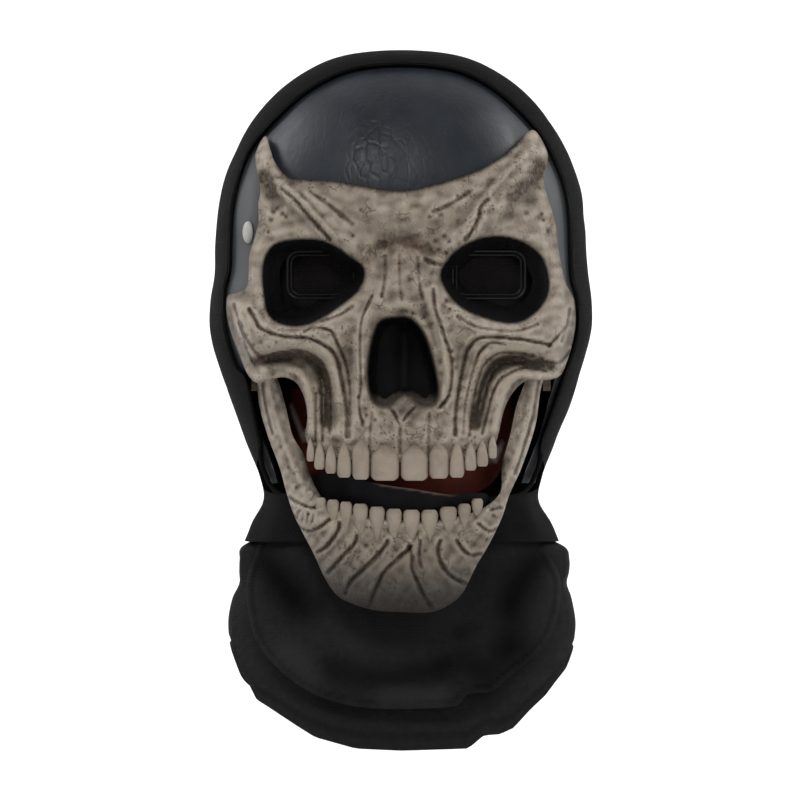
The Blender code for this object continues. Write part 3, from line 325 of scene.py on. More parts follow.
# Fine carving of the bone face. Sunk lines and raised folds, in (x, z) as seen from the front.
FACE_CARVING = (
    # name, height, half_width, line of (x, z)
    ("left cheek line", -1.5, 0.9, ((-75.5, -124.5), (-72.5, -129.5), (-70.5, -133.5), (-65.5, -136),
        (-60.5, -137.5), (-53, -138.5), (-45.5, -139), (-38, -142.5), (-34, -145.5), (-31.5, -150.5),
        (-30, -157), (-28, -167), (-27, -176), (-27, -188))),
    ("left inner line", -1.2, 0.8, ((-48, -135.5), (-43, -133.5), (-37, -134.5), (-34, -136),
        (-31.5, -142), (-28, -149.5), (-26, -159.5), (-25.5, -169.5), (-25.5, -188))),
    ("left deep band", -2.6, 2.6, ((-72, -150), (-63, -148.5), (-55.5, -147), (-50.5, -147),
        (-44.5, -149.5), (-40.5, -154.5), (-38.5, -162), (-38, -170), (-38, -180))),
    ("left deep line", -1.2, 0.7, ((-70.5, -148.5), (-60, -146), (-50, -145), (-43, -147.5),
        (-38, -153), (-35.5, -162), (-35, -172), (-35.5, -186))),
    ("left arch rim", 1.6, 2, ((-68, -154), (-62, -152.5), (-55.5, -153.5), (-49, -157.5),
        (-46, -164.5), (-45, -172), (-44.5, -184.5))),
    ("left cheek fold", 1.5, 2.4, ((-68, -142), (-58, -142.5), (-46, -143.5), (-38, -147),
        (-34.5, -153), (-32.5, -162), (-31.5, -174), (-31.5, -186))),
    ("left bars", 1, 1, ((-40.5, -168), (-40.5, -189))),
    ("left bar line", -1.1, 0.6, ((-42.2, -166), (-42.4, -190))),
    ("left bar line in", -1.1, 0.6, ((-38.8, -168), (-39, -190))),
    ("left nose strip", 0.9, 1.6, ((-23, -138), (-22.5, -150), (-22.5, -165), (-22, -180))),
    ("left nose line", -0.9, 0.7, ((-14.5, -118), (-19.5, -130), (-20.5, -145), (-20, -160),
        (-21, -172), (-19, -182))),
    ("left cheek end", -1.2, 1, ((-80, -131), (-77, -139), (-72, -146), (-66, -148.5))),
    ("left outer line", -0.9, 0.8, ((-83, -122), (-80.5, -131), (-78, -141), (-74, -150))),
    ("left under eye", -0.8, 0.8, ((-61, -135), (-50, -134.5), (-40, -130.5), (-31, -127.5),
        (-24, -123))),
    ("right cheek line", -1.5, 0.9, ((74, -142), (66, -140.5), (59.5, -139.5), (49.5, -138.5),
        (42, -138.5), (37, -139.5), (34.5, -142.5), (32.5, -145.5), (31.5, -150.5), (29.5, -159.5),
        (28, -169.5), (27, -179.5), (27, -187))),
    ("right inner line", -1.1, 0.8, ((52, -142), (44.5, -141), (41, -143.5), (38.5, -147), (36, -154.5),
        (33.5, -164.5), (32, -174), (31, -186))),
    ("right deep band", -2.6, 2.6, ((74, -152), (64.5, -151), (57, -149.5), (49.5, -150.5),
        (45.5, -154), (42.5, -160), (40.5, -167), (38.5, -174.5), (37, -182))),
    ("right band line", -1.2, 0.7, ((66, -147.5), (57, -146), (48, -146.5), (42, -151), (39, -157),
        (37, -165), (35.5, -174), (34, -187))),
    ("right arch line", -1.3, 0.8, ((72, -155), (62, -153.5), (52, -157), (48, -161), (45, -168),
        (42.8, -176), (40.5, -186))),
    ("right arch rim", 1.5, 1.8, ((68, -158), (60, -157), (54, -160.5), (50.5, -167), (48.5, -174),
        (46, -184))),
    ("right cheek fold", 1.4, 2.2, ((70, -145), (60, -143.5), (51, -143.5), (43, -146.5), (38, -152),
        (35, -161), (33, -172), (31.5, -184))),
    ("right nose line", -1.3, 0.8, ((16, -114.5), (17, -124.5), (19.5, -132), (22, -139.5),
        (24.5, -147), (25.5, -156), (24, -166), (20, -173))),
    ("right nose strip", 1.2, 1.8, ((13, -116), (15, -126), (18.5, -137), (21.5, -148), (22.5, -158),
        (20.5, -166))),
    ("right crease", -1, 0.8, ((73.5, -142.5), (77.5, -138.5), (81.5, -133.5))),
    ("right lower crease", -1, 0.8, ((72, -151), (79.5, -150.5), (84, -145))),
    ("right outer line", -0.8, 0.8, ((84, -124), (82.5, -132), (80, -140))),
    ("right under eye", -0.8, 0.8, ((28, -128), (36, -132.5), (45, -134.5), (58, -135), (68, -132))),
    ("under nose mark", -1.2, 0.7, ((-9, -170), (-3.5, -176), (-1.5, -181))),
    ("under nose mark right", -1, 0.7, ((9, -171), (4, -176), (1, -180))),
    ("under nose corner", -0.9, 0.8, ((18.5, -173.5), (24.5, -167.5))),
    ("gum middle", -0.9, 0.9, ((-0.5, -182), (-0.5, -196))),
    ("gum left", -0.7, 0.8, ((-14.5, -176), (-15.5, -188), (-15.5, -198))),
    ("gum right", -0.7, 0.8, ((14, -176), (13.8, -188), (13.6, -198))),
    ("left brow line", -1.7, 1, ((-59, -64.5), (-52, -70.5), (-48, -75.5), (-41.5, -82.5),
        (-35.5, -89.5))),
    ("left brow back", 0.9, 1.6, ((-61.5, -61), (-55, -66), (-49, -71.5), (-42, -79), (-35, -86.5))),
    ("right brow line", -1.7, 1, ((43, -70), (39.5, -73.5), (38.5, -79.5), (35.5, -85.5), (32, -90))),
    ("right brow back", 0.9, 1.6, ((62, -47), (52, -57), (44, -66), (37, -76), (31, -84))),
    ("left temple hollow", -2.4, 4.2, ((-67.5, -58.5), (-64.5, -66))),
    ("right temple hollow", -2.4, 4.2, ((68.5, -53), (65, -61), (56, -67.5))),
    ("brow top left", -0.8, 1, ((-45, -66), (-34, -74), (-24, -82))),
    ("brow top right", -0.8, 1, ((34, -66), (25, -72), (16, -76))),
    ("brow crease", -1, 0.9, ((12, -99.5), (16, -101.5), (20, -102))),
    ("nose root", -1, 3, ((-10, -92), (0, -90), (12, -94))),
    ("bridge line left", -0.8, 0.9, ((-8, -98), (-8, -108), (-9.5, -118))),
    ("bridge line middle", -0.6, 0.8, ((-1, -98), (-0.5, -112), (0.5, -120))),
    ("bridge line right", -0.8, 0.9, ((8.5, -99), (9, -110), (10.5, -119))),
    ("nose tip", 1.5, 2.2, ((-8, -123.5), (0, -122), (8, -123.5))),
)
# Small holes in the bone, each at (x, z).
FACE_PITS = (
    # x, z, radius
    (-63.5, -76, 1.3), (-64.5, -80, 1.2), (-59, -77, 1.1), (-57, -78.5, 1), (-61.5, -74, 0.8),
    (-66, -86, 0.8), (62.5, -76.5, 1.2), (70, -77, 1), (73.5, -85.5, 1.1), (71, -80, 0.8),
    (20, -77.5, 1.2), (14.5, -78.5, 1.1), (21.5, -88, 1.1), (17, -90.5, 1.2), (13, -92.5, 1.1),
    (14.5, -94.5, 1), (22.5, -96.5, 1), (24, -91, 0.9), (18.5, -95, 0.8), (6, -126.5, 0.9),
    (11.5, -128.5, 0.9), (15.5, -131.5, 0.7), (-73, -142, 1.1), (-69.5, -141, 1.2), (-65.5, -143, 1),
    (-79, -133, 1), (-76.5, -137, 0.9), (-80, -139, 0.8), (-77, -143.5, 0.9), (-62, -141, 0.7),
    (25.5, -145.5, 1.1), (26, -149.5, 1.2), (27.5, -153.5, 1.1), (21, -122.5, 1.3), (24, -124.5, 0.9),
    (22.5, -120, 0.8), (-21.5, -168, 0.9), (-17, -177, 1), (-13, -179.5, 0.9), (-19, -180.5, 0.8),
    (61, -146.5, 0.9), (65, -147.5, 0.8), (70, -149, 0.8), (74, -154, 0.7), (-24, -88, 0.8),
    (-30, -78, 0.8), (-20, -75, 0.7), (28, -68, 0.8), (-38, -70, 0.7),
)
JAW_CARVING = (
    # name, height, half_width, line of (x, z)
    ("left corner line", -1.5, 0.9, ((-55.5, -218), (-50.5, -221), (-44.5, -223), (-40.5, -222))),
    ("left leaf line", -1.5, 0.9, ((-50.5, -233), (-45.5, -234.5), (-40.5, -232.5), (-35.5, -229))),
    ("left fold line", -1.5, 0.9, ((-41.5, -245), (-38, -243), (-34.5, -239), (-31.5, -234.5),
        (-30.5, -230.5))),
    ("left chin line", -1.6, 0.9, ((-36.5, -255.5), (-32, -250.5), (-28, -246), (-23, -240.5),
        (-22, -237))),
    ("left sweep", -1.6, 0.9, ((-27.5, -265.5), (-25, -259.5), (-19.5, -254.5), (-14.5, -249.5),
        (-8.5, -243), (-6.5, -239.5))),
    ("middle sweep", -1.6, 0.9, ((-16, -273), (-14.5, -268), (-12, -262), (-9, -255.5), (-3, -249.5),
        (3, -244.5), (5, -242))),
    ("chin line", -1.5, 0.9, ((4, -242), (5.5, -248), (5.5, -253.5), (8, -259.5), (11.5, -267),
        (15.5, -273))),
    ("right sweep", -1.5, 0.9, ((19.5, -239.5), (18.5, -243.5), (19.5, -249.5), (22.5, -254.5),
        (27, -258.5), (32.5, -261))),
    ("right fold line", -1.5, 0.9, ((28, -239.5), (30.5, -243.5), (34.5, -246.5), (40, -246))),
    ("right leaf line", -1.4, 0.8, ((38.5, -231), (43.5, -234.5), (48, -233.5))),
    ("right nick", -1, 0.7, ((9.5, -239.5), (9, -247), (10, -252.5))),
    ("right corner line", -1.3, 0.8, ((44.5, -224), (50, -223))),
    ("left leaf", 1.2, 3.2, ((-49, -227.5), (-42, -229))),
    ("left fold", 1, 2.6, ((-44, -240), (-38, -238), (-34, -233))),
    ("left roll", 1, 2.8, ((-37, -250), (-31, -245), (-26, -240))),
    ("chin roll left", 1, 3.2, ((-30, -258), (-23, -251), (-16, -245))),
    ("chin roll middle", 1.2, 3.6, ((-20, -266), (-14, -257), (-6, -249))),
    ("chin plate", 1.2, 5, ((-2, -266), (0, -258), (3, -252))),
    ("right plate", 1, 4, ((15, -262), (13, -252))),
    ("right roll", 1, 2.8, ((25, -249), (28, -252), (36, -253))),
    ("left arm line", -1, 0.8, ((-69, -160), (-67.5, -172), (-64, -186))),
    ("right arm line", -1, 0.8, ((68.5, -160), (66, -176), (61.5, -192), (57, -206))),
    ("left arm edge", 0.8, 1.4, ((-66.5, -158), (-64, -172), (-60, -186), (-55, -199), (-50, -210))),
    ("right arm edge", 0.8, 1.4, ((66.5, -158), (63.5, -176), (59, -192), (54, -206), (48, -217))),
    ("tooth row", 0.8, 2, ((-34, -224), (-15, -230), (5, -232), (22, -230), (36, -224))),
)
JAW_PITS = (
    # x, z, radius
    (-4, -247.5, 1.3), (-7, -245.5, 0.9), (-50, -224.5, 0.9), (-46, -226, 0.8), (-53, -227, 0.8),
    (-17.5, -242, 1), (-15, -244.5, 0.8), (-46, -217, 0.8), (-52, -213, 0.9), (46, -227, 0.8),
    (43, -239, 0.7), (12, -244.5, 0.9), (2, -271, 0.9), (-1, -270, 0.8), (20, -244, 0.8),
    (-60, -193, 0.8), (-56, -203, 0.9), (-53, -206, 0.8),
)
# Short upright nicks on the left corner of the jaw.
JAW_NICKS = (
    # x, z at the top, z at the foot
    (-51, -225, -228.5), (-48.5, -225.5, -229.5), (-46, -226, -230), (-43.5, -226.5, -230),
)
# Soft light and dark places on the neck cloth, where its folds turn to or from the light.
CLOTH_TONES = (
    # name, tone, half_width, line of (x, z)
    ("left hollow", -1, 10, ((-68, -250), (-58, -262), (-50, -272))),
    ("right hollow", -1, 10, ((66, -250), (58, -262), (54, -272))),
    ("right low hollow", -0.9, 11, ((30, -296), (42, -304), (56, -292))),
    ("front hollow", -0.7, 8, ((-34, -304), (-10, -308), (18, -304))),
    ("left light", 0.7, 7, ((-56, -296), (-44, -308))),
    ("hem light", 0.8, 5, ((-8, -317), (18, -317))),
    ("front light", 0.45, 14, ((-20, -286), (24, -284))),
    ("left shoulder light", 0.4, 7, ((-66, -236), (-54, -240))),
    ("right shoulder light", 0.4, 7, ((66, -236), (54, -240))),
)
# Long soft wrinkles of the neck cloths, over the CAD's own folds.
CLOTH_WRINKLES = (
    # name, height, half_width, line of (x, z)
    ("left neck fold", 1.6, 3, ((-70, -237), (-60, -238), (-52, -241))),
    ("right neck fold", 1.6, 3, ((70, -237), (60, -238), (50, -241))),
    ("left drape", 1.4, 5, ((-70, -262), (-62, -280), (-48, -296), (-34, -304))),
    ("right drape", 1.4, 5, ((72, -262), (66, -276), (50, -284), (34, -290))),
    ("front drape", 1.2, 6, ((-40, -288), (-10, -296), (24, -296))),
    ("right pull", 1.4, 3.5, ((32, -318), (44, -308), (56, -300))),
    ("left pull", 0.9, 3.5, ((-66, -294), (-56, -306))),
)


class Table:
    """Rows with named columns, read by smooth interpolation over the first column."""

    def __init__(self, names, rows, key=lambda value: -value):
        self.key = key
        columns = np.array(rows, float).T
        self.at = self.key(columns[0])
        self.columns = dict(zip(names.split(), columns[1:]))

    def read(self, name, z):
        """The named column at the heights z, on a curve through the rows."""
        values = self.columns[name]
        slopes = np.gradient(values, self.at)
        place = np.clip(self.key(np.asarray(z, float)), self.at[0], self.at[-1])
        row = np.clip(np.searchsorted(self.at, place) - 1, 0, len(self.at) - 2)
        step = self.at[row + 1] - self.at[row]
        t = (place - self.at[row]) / step
        start = values[row] * (1 + 2 * t) * (1 - t) ** 2 + step * slopes[row] * t * (1 - t) ** 2
        end = values[row + 1] * t * t * (3 - 2 * t) + step * slopes[row + 1] * t * t * (t - 1)
        return start + end


def below_crown(z):
    """Root of the distance below the crown, over which a dome's width grows evenly."""
    return np.sqrt(np.maximum(CROWN_TOP - z, 0.0))


HEAD = Table("half_width middle front back", HEAD_ROWS, below_crown)
FACE = Table("half_width middle front", FACE_ROWS)
JAW = Table("half_width middle front", JAW_ROWS)
BIB = Table("half_width middle front", BIB_ROWS)
CAPE = Table("half_width middle front back", CAPE_ROWS)


def front_of(table, x, z, inset=0.0):
    """The y of a section's front half at x, with the section drawn in by inset."""
    width = table.read("half_width", z)
    slope = (table.read("half_width", z + 1.0) - table.read("half_width", z - 1.0)) / 2.0
    drawn_in = inset * np.sqrt(1.0 + slope ** 2)
    middle = table.read("middle", z)
    across = np.clip(np.abs(x) / (width - drawn_in), 0.0, 0.995)
    depth = middle - table.read("front", z) - drawn_in
    return middle - depth * (1.0 - across ** OVAL) ** (1.0 / OVAL)


def steepness(y_of, x, z):
    """Length of surface for each unit of the front view, for the height field y_of."""
    step = 0.5
    dx = (y_of(x + step, z) - y_of(x - step, z)) / (2 * step)
    dz = (y_of(x, z + step) - y_of(x, z - step)) / (2 * step)
    return np.sqrt(1.0 + dx ** 2 + dz ** 2)


def ease(value):
    """Smooth step from 0 to 1."""
    value = np.clip(value, 0.0, 1.0)
    return value * value * (3 - 2 * value)


def rounded(points, spacing, closed=True):
    """Points about spacing apart on a smooth curve through the given points."""
    points = np.array(points, float)
    count = len(points)
    found = []
    for i in range(count if closed else count - 1):
        if closed:
            before, start, end, after = (points[(i + k) % count] for k in (-1, 0, 1, 2))
        else:
            before, start, end, after = (points[min(max(i + k, 0), count - 1)] for k in (-1, 0, 1, 2))
        steps = max(1, round(float(np.linalg.norm(end - start)) / spacing))
        for t in np.arange(steps) / steps:
            found.append(0.5 * (2 * start + (end - before) * t
                                + (2 * before - 5 * start + 4 * end - after) * t ** 2
                                + (3 * start - before - 3 * end + after) * t ** 3))
    if not closed:
        found.append(points[-1])
    return np.array(found)


def distance_to(points, line, closed=False):
    """Distance of each point to a line of straight runs."""
    line = np.array(line, float)
    ends = np.roll(line, -1, axis=0) if closed else line[1:]
    nearest = np.full(len(points), np.inf)
    for start, end in zip(line, ends):
        run = end - start
        t = np.clip((points - start) @ run / max(run @ run, 1e-12), 0.0, 1.0)
        gap = points - start - t[:, None] * run
        nearest = np.minimum(nearest, np.einsum("ij,ij->i", gap, gap))
    return np.sqrt(nearest)


def inside(points, loop):
    """Whether each point lies within a closed loop."""
    hit = np.zeros(len(points), bool)
    for start, end in zip(loop, np.roll(loop, -1, axis=0)):
        crosses = (start[1] > points[:, 1]) != (end[1] > points[:, 1])
        if start[1] != end[1]:
            at = start[0] + (points[:, 1] - start[1]) * (end[0] - start[0]) / (end[1] - start[1])
            hit ^= crosses & (points[:, 0] < at)
    return hit


def depth_inside(x, z, loop):
    """Distance within a loop, negative outside it."""
    points = np.column_stack([x, z])
    away = distance_to(points, loop, closed=True)
    return np.where(inside(points, loop), away, -away)


def forms(x, z, rows, centre=None):
    """Sum of the raised and sunk forms; with a centre, each form stands on both sides of it."""
    points = np.column_stack([np.abs(x - centre) if centre is not None else x, z])
    total = np.zeros(len(points))
    for _, height, half_width, line in rows:
        away = distance_to(points, rounded(line, half_width, closed=False))
        total += height * np.exp(-(away / half_width) ** 2)
    return total


def loop_inset(loop, inset, spacing):
    """A loop drawn in by inset, found outwards from the loop's middle."""
    middle = loop.mean(axis=0)
    around = max(12, round(2 * math.pi * float(np.linalg.norm(loop - middle, axis=1).mean()) / spacing))
    found = []
    for angle in np.arange(around) * 2 * math.pi / around:
        ray = np.array((math.cos(angle), math.sin(angle)))
        reach = np.arange(0.0, 60.0, 0.5)
        points = middle + reach[:, None] * ray
        within = depth_inside(points[:, 0], points[:, 1], loop) > inset
        found.append(points[max(int(np.argmin(within)) - 1, 0)])
    return np.array(found)


def flat_mesh(outline, holes, lines, spacing, turn):
    """Triangles that fill an outline apart from its holes, evenly over a drum of radius turn."""

    def unroll(points):
        return np.column_stack([turn * np.arcsin(points[:, 0] / turn), points[:, 1]])

    loops = [unroll(rounded(loop, spacing)) for loop in (outline, *holes, *lines)]
    edge, cuts = loops[0], loops[1:1 + len(holes)]
    low, high = edge.min(axis=0), edge.max(axis=0)
    rows = np.arange(low[1], high[1], spacing * math.sqrt(0.75))
    columns = np.arange(low[0], high[0], spacing)
    grid = np.array([(q + (i % 2) * spacing / 2, z) for i, z in enumerate(rows) for q in columns])
    keep = inside(grid, edge)
    for loop in loops:
        keep &= distance_to(grid, loop, closed=True) > spacing * 0.55
    for cut in cuts:
        keep &= ~inside(grid, cut)
    points = np.vstack([*loops, grid[keep]])
    edges = []
    for start, loop in zip(np.cumsum([0] + [len(one) for one in loops]), loops):
        edges += [(int(start + k), int(start + (k + 1) % len(loop))) for k in range(len(loop))]
    found = delaunay_2d_cdt([tuple(point) for point in points], edges, [], 0, 1e-5)
    verts = np.array([tuple(point) for point in found[0]])
    faces = np.array([face for face in found[2] if len(face) == 3])
    middles = verts[faces].mean(axis=1)
    wanted = inside(middles, edge)
    for cut in cuts:
        wanted &= ~inside(middles, cut)
    faces = faces[wanted]
    used = np.unique(faces)
    faces = np.searchsorted(used, faces)
    verts = verts[used]
    a, b, c = (verts[faces[:, k]] for k in range(3))
    turned = (b[:, 0] - a[:, 0]) * (c[:, 1] - a[:, 1]) - (b[:, 1] - a[:, 1]) * (c[:, 0] - a[:, 0]) < 0
    faces[turned] = faces[turned][:, ::-1]
    return turn * np.sin(verts[:, 0] / turn), verts[:, 1], faces


def ring(table, z, inset, around=HOOD_AROUND):
    """One section of a hood or cape, drawn in along its normal by inset; z may differ round it."""
    angle = np.arange(around) * 2 * math.pi / around
    z = np.broadcast_to(np.asarray(z, float), angle.shape)
    step = 0.05 if table is HEAD else 1.0
    higher = np.minimum(z + step, CROWN_TOP)
    slope = (table.read("half_width", higher) - table.read("half_width", z - step)) / (higher - z + step)
    outwards = 1.0 / np.sqrt(1.0 + slope ** 2)
    inset_across = inset * outwards
    inset_up = -inset * slope * outwards
    width = np.maximum(table.read("half_width", z) - inset_across, 0.0)
    middle = table.read("middle", z)
    to_front = np.maximum(middle - table.read("front", z) - inset_across, 0.0)
    to_back = np.maximum(table.read("back", z) - middle - inset_across, 0.0)
    sine, cosine = np.sin(angle), np.cos(angle)
    x = width * np.sign(sine) * np.abs(sine) ** (2 / OVAL)
    reach = np.where(cosine > 0, to_front, to_back)
    y = middle - reach * np.sign(cosine) * np.abs(cosine) ** (2 / OVAL)
    return np.column_stack([x, y, z - inset_up])


def socket_loops():
    """The two eye sockets as smooth loops."""
    return rounded(LEFT_SOCKET, LOOP_FINE), rounded(RIGHT_SOCKET, LOOP_FINE)


def socket_floor(x):
    """The slanted plane at the back of the eye sockets."""
    return SOCKET_FLOOR_Y + SOCKET_SLANT * (np.abs(x - FACE_CENTRE) - SOCKET_MIDDLE)


def cap_front(x, z):
    """The outer face of the cap, which carries the bone."""
    return front_of(HEAD, x, z, CAP_INSET)


def face_front(x, z):
    """The front of the bone face: its sections, its forms, the sockets, the nose and the edge on the cap."""
    y = front_of(FACE, x, z) - forms(x, z, FACE_FORMS, FACE_CENTRE)
    from_edge = depth_inside(x, z, rounded(FACE_EDGE, 4.0))
    resting = cap_front(x, z) - (BONE_WALL + 1.0) * np.minimum(steepness(cap_front, x, z), 3.5)
    on_cap = ease((z + 160.0) / 14.0)
    y = y + (resting - y) * on_cap * (1.0 - ease(from_edge / 9.0))
    for loop in socket_loops():
        within = depth_inside(x, z, loop)
        y = y - 2.5 * np.exp(-((within + 3.5) / 3.0) ** 2)
        y = y + (socket_floor(x) - y) * ease((within + 0.5) / SOCKET_WALL)
    nose = depth_inside(x, z, rounded(NOSE_HOLE, LOOP_FINE))
    return y + (NOSE_FLOOR - y) * ease((nose + 0.5) / NOSE_WALL)


def jaw_front(x, z):
    """The front of the jaw."""
    return front_of(JAW, x, z) - forms(x, z, JAW_FORMS, 0.0)


def mouth_front(x, z):
    """The front of the mouth lining: against the back of the upper gum, then deep behind the teeth."""
    deep = -20.0 - 52.0 * (1.0 - (np.minimum(np.abs(x), 63.0) / 64.0) ** OVAL) ** (1.0 / OVAL)
    gum = face_front(x, z) + BONE_WALL * np.minimum(steepness(face_front, x, z), 2.0) + LINING_SEAT
    away = np.maximum(ease((-178.0 - z) / 16.0), ease((np.abs(x) - 22.0) / 12.0))
    return gum + (deep - gum) * away


def pits(x, z, rows, depth=0.9):
    """Depth of small round holes."""
    total = np.zeros(len(x))
    for at_x, at_z, radius in rows:
        total += depth * np.exp(-((x - at_x) ** 2 + (z - at_z) ** 2) / radius ** 2)
    return total


def lumps(x, z, size, seed):
    """Soft unevenness of a hand-worked surface, from about -1 to 1, with swells about size wide."""
    total = np.zeros(len(x))
    rng = np.random.default_rng(seed)
    for share in (1.0, 0.62, 0.41):
        for _ in range(4):
            turn, shift = rng.uniform(0, 2 * math.pi, 2)
            wave = 2 * math.pi / (size * share)
            total += share * np.sin(wave * (x * math.cos(turn) + z * math.sin(turn)) + shift)
    return total / 4.0


def bare_bone(x, z):
    """1 on the open bone, 0 inside the sockets and the nose."""
    open_bone = np.ones(len(x))
    for loop in (*socket_loops(), rounded(NOSE_HOLE, LOOP_FINE)):
        open_bone *= 1.0 - ease((depth_inside(x, z, loop) + 1.0) / 2.0)
    return open_bone


FINE_GROOVE = 1.3
GROOVE_DEPTH, GROOVE_WIDTH = 1.45, 1.2
FOLD_LIFT, FOLD_WIDTH = 0.75, 2.7


def folded(x, z, rows):
    """Sum of the carved rows; each fine groove is deepened and lifts a soft fold along both its sides."""
    points = np.column_stack([x, z])
    total = np.zeros(len(points))
    for _, height, half_width, line in rows:
        away = distance_to(points, rounded(line, half_width, closed=False))
        if height < 0 and half_width < FINE_GROOVE:
            total += GROOVE_DEPTH * height * np.exp(-(away / (GROOVE_WIDTH * half_width)) ** 2)
            total -= FOLD_LIFT * height * np.exp(-(away / (FOLD_WIDTH * half_width)) ** 2)
        else:
            total += height * np.exp(-(away / half_width) ** 2)
    return total


def face_carving(x, z):
    """Height of the face's fine lines, folds and pits over its plain front."""
    return folded(x, z, FACE_CARVING) - pits(x, z, FACE_PITS) + 0.45 * lumps(x, z, 12.0, 3)


def jaw_carving(x, z):
    """Height of the jaw's fine lines, folds and pits over its plain front."""
    nicks = np.zeros(len(x))
    for at_x, top, foot in JAW_NICKS:
        away = distance_to(np.column_stack([x, z]), ((at_x, top), (at_x - 0.8, foot)))
        nicks += 0.9 * np.exp(-(away / 0.6) ** 2)
    uneven = 0.4 * lumps(x, z, 10.0, 5)
    return folded(x, z, JAW_CARVING) - pits(x, z, JAW_PITS) - nicks + uneven


def hollowness(height_of, x, z, reach=1.5, depth=0.45):
    """How far each point lies below its neighbours, from -1 on a crest to 1 in a groove."""
    steps = ((reach, 0), (-reach, 0), (0, reach), (0, -reach))
    around = sum(height_of(x + dx, z + dz) for dx, dz in steps) / 4.0
    return np.clip((around - height_of(x, z)) / depth, -1.0, 1.0)


def add_piece(name, verts, faces, material, marks=None):
    """A smooth-shaded mesh from points in millimetres, with named values painted on its points."""
    mesh = bpy.data.meshes.new(name)
    points = (np.asarray(verts, float) * MM).tolist()
    mesh.from_pydata(points, [], [tuple(int(i) for i in face) for face in faces])
    mesh.validate()
    for mark, values in (marks or {}).items():
        painted = mesh.attributes.new(mark, "FLOAT", "POINT")
        painted.data.foreach_set("value", np.asarray(values, np.float32))
    mesh.materials.append(material)
    mesh.shade_smooth()
    mesh.set_sharp_from_angle(angle=math.radians(SHARP_EDGE))
    obj = bpy.data.objects.new(name, mesh)
    bpy.context.collection.objects.link(obj)
    return obj


def wall(flat, front_y, back_y):
    """Points and faces of a closed wall over a flat mesh, from its front surface to its back surface."""
    x, z, faces = flat
    count = len(x)
    verts = np.vstack([np.column_stack([x, front_y, z]), np.column_stack([x, back_y, z])])
    runs = {(int(f[k]), int(f[(k + 1) % 3])) for f in faces for k in range(3)}
    rim = [(b, a, a + count, b + count) for a, b in sorted(runs) if (b, a) not in runs]
    return verts, [tuple(f) for f in faces] + [tuple(f[::-1] + count) for f in faces] + rim


def join(parts):
    """Points and faces of several closed forms as one list each."""
    verts, faces, start = [], [], 0
    for part_verts, part_faces in parts:
        verts.append(np.asarray(part_verts, float))
        faces += [tuple(int(i) + start for i in face) for face in part_faces]
        start += len(part_verts)
    return np.vstack(verts), faces


def shell(outer, inner, crown=None):
    """Points and faces of a wall between two stacks of rings; crown has the heights of a closed top."""
    around, levels = len(outer[0]), len(outer)
    verts = np.vstack([*outer, *inner])

    def at(side, level, k):
        return (side * levels + level) * around + k % around

    faces = []
    for k in range(around):
        for level in range(levels - 1):
            below = level + 1
            faces.append((at(0, level, k), at(0, below, k), at(0, below, k + 1), at(0, level, k + 1)))
            faces.append((at(1, level, k), at(1, level, k + 1), at(1, below, k + 1), at(1, below, k)))
        last = levels - 1
        faces.append((at(0, last, k), at(1, last, k), at(1, last, k + 1), at(0, last, k + 1)))
        if crown is None:
            faces.append((at(0, 0, k), at(0, 0, k + 1), at(1, 0, k + 1), at(1, 0, k)))
    if crown is not None:
        poles, top_y = len(verts), outer[0][:, 1].mean()
        verts = np.vstack([verts, (0, top_y, crown[0]), (0, top_y, crown[1])])
        for k in range(around):
            faces.append((poles, at(0, 0, k), at(0, 0, k + 1)))
            faces.append((poles + 1, at(1, 0, k + 1), at(1, 0, k)))
    return verts, faces


def tube(path, radius, sides=10, flatten=1.0):
    """Points and faces of a closed round bar that follows a closed path."""
    path = np.asarray(path, float)
    count = len(path)
    along = np.roll(path, -1, axis=0) - np.roll(path, 1, axis=0)
    along /= np.linalg.norm(along, axis=1)[:, None]
    out = np.cross(along, (0.0, 1.0, 0.0))
    out /= np.linalg.norm(out, axis=1)[:, None]
    up = np.cross(along, out)
    turns = np.arange(sides) * 2 * math.pi / sides
    verts = [path + radius * (np.cos(t) * out + flatten * np.sin(t) * up) for t in turns]
    verts = np.stack(verts, axis=1).reshape(-1, 3)
    faces = []
    for k in range(count):
        n = (k + 1) % count
        for s in range(sides):
            t = (s + 1) % sides
            faces.append((k * sides + s, k * sides + t, n * sides + t, n * sides + s))
    return verts, faces


def prism(outline, y_from, y_to):
    """Points and faces of a straight block along Y with the given outline."""
    count = len(outline)
    verts = [(x, y, z) for y in (y_from, y_to) for x, z in outline]
    area = sum(a[0] * b[1] - b[0] * a[1] for a, b in zip(outline, np.roll(outline, -1, axis=0)))
    order = list(range(count)) if area > 0 else list(range(count))[::-1]
    faces = [tuple(order), tuple(i + count for i in order[::-1])]
    return verts, faces + [(b, a, a + count, b + count) for a, b in zip(order, order[1:] + order[:1])]


def block_along_x(outline, x_from, x_to):
    """Points and faces of a straight block along X from an outline of (y, z)."""
    count = len(outline)
    low, high = min(x_from, x_to), max(x_from, x_to)
    verts = [(x, y, z) for x in (high, low) for y, z in outline]
    faces = [tuple(range(count)), tuple(range(2 * count - 1, count - 1, -1))]
    sides = [((k + 1) % count, k, k + count, (k + 1) % count + count) for k in range(count)]
    return verts, faces + sides


def keep_result(obj, modifier):
    """Takes a modifier off an object and keeps what it made as a plain mesh."""
    bpy.context.view_layer.update()
    ready = obj.evaluated_get(bpy.context.evaluated_depsgraph_get())
    made = bpy.data.meshes.new_from_object(ready)
    obj.modifiers.remove(modifier)
    obj.data = made


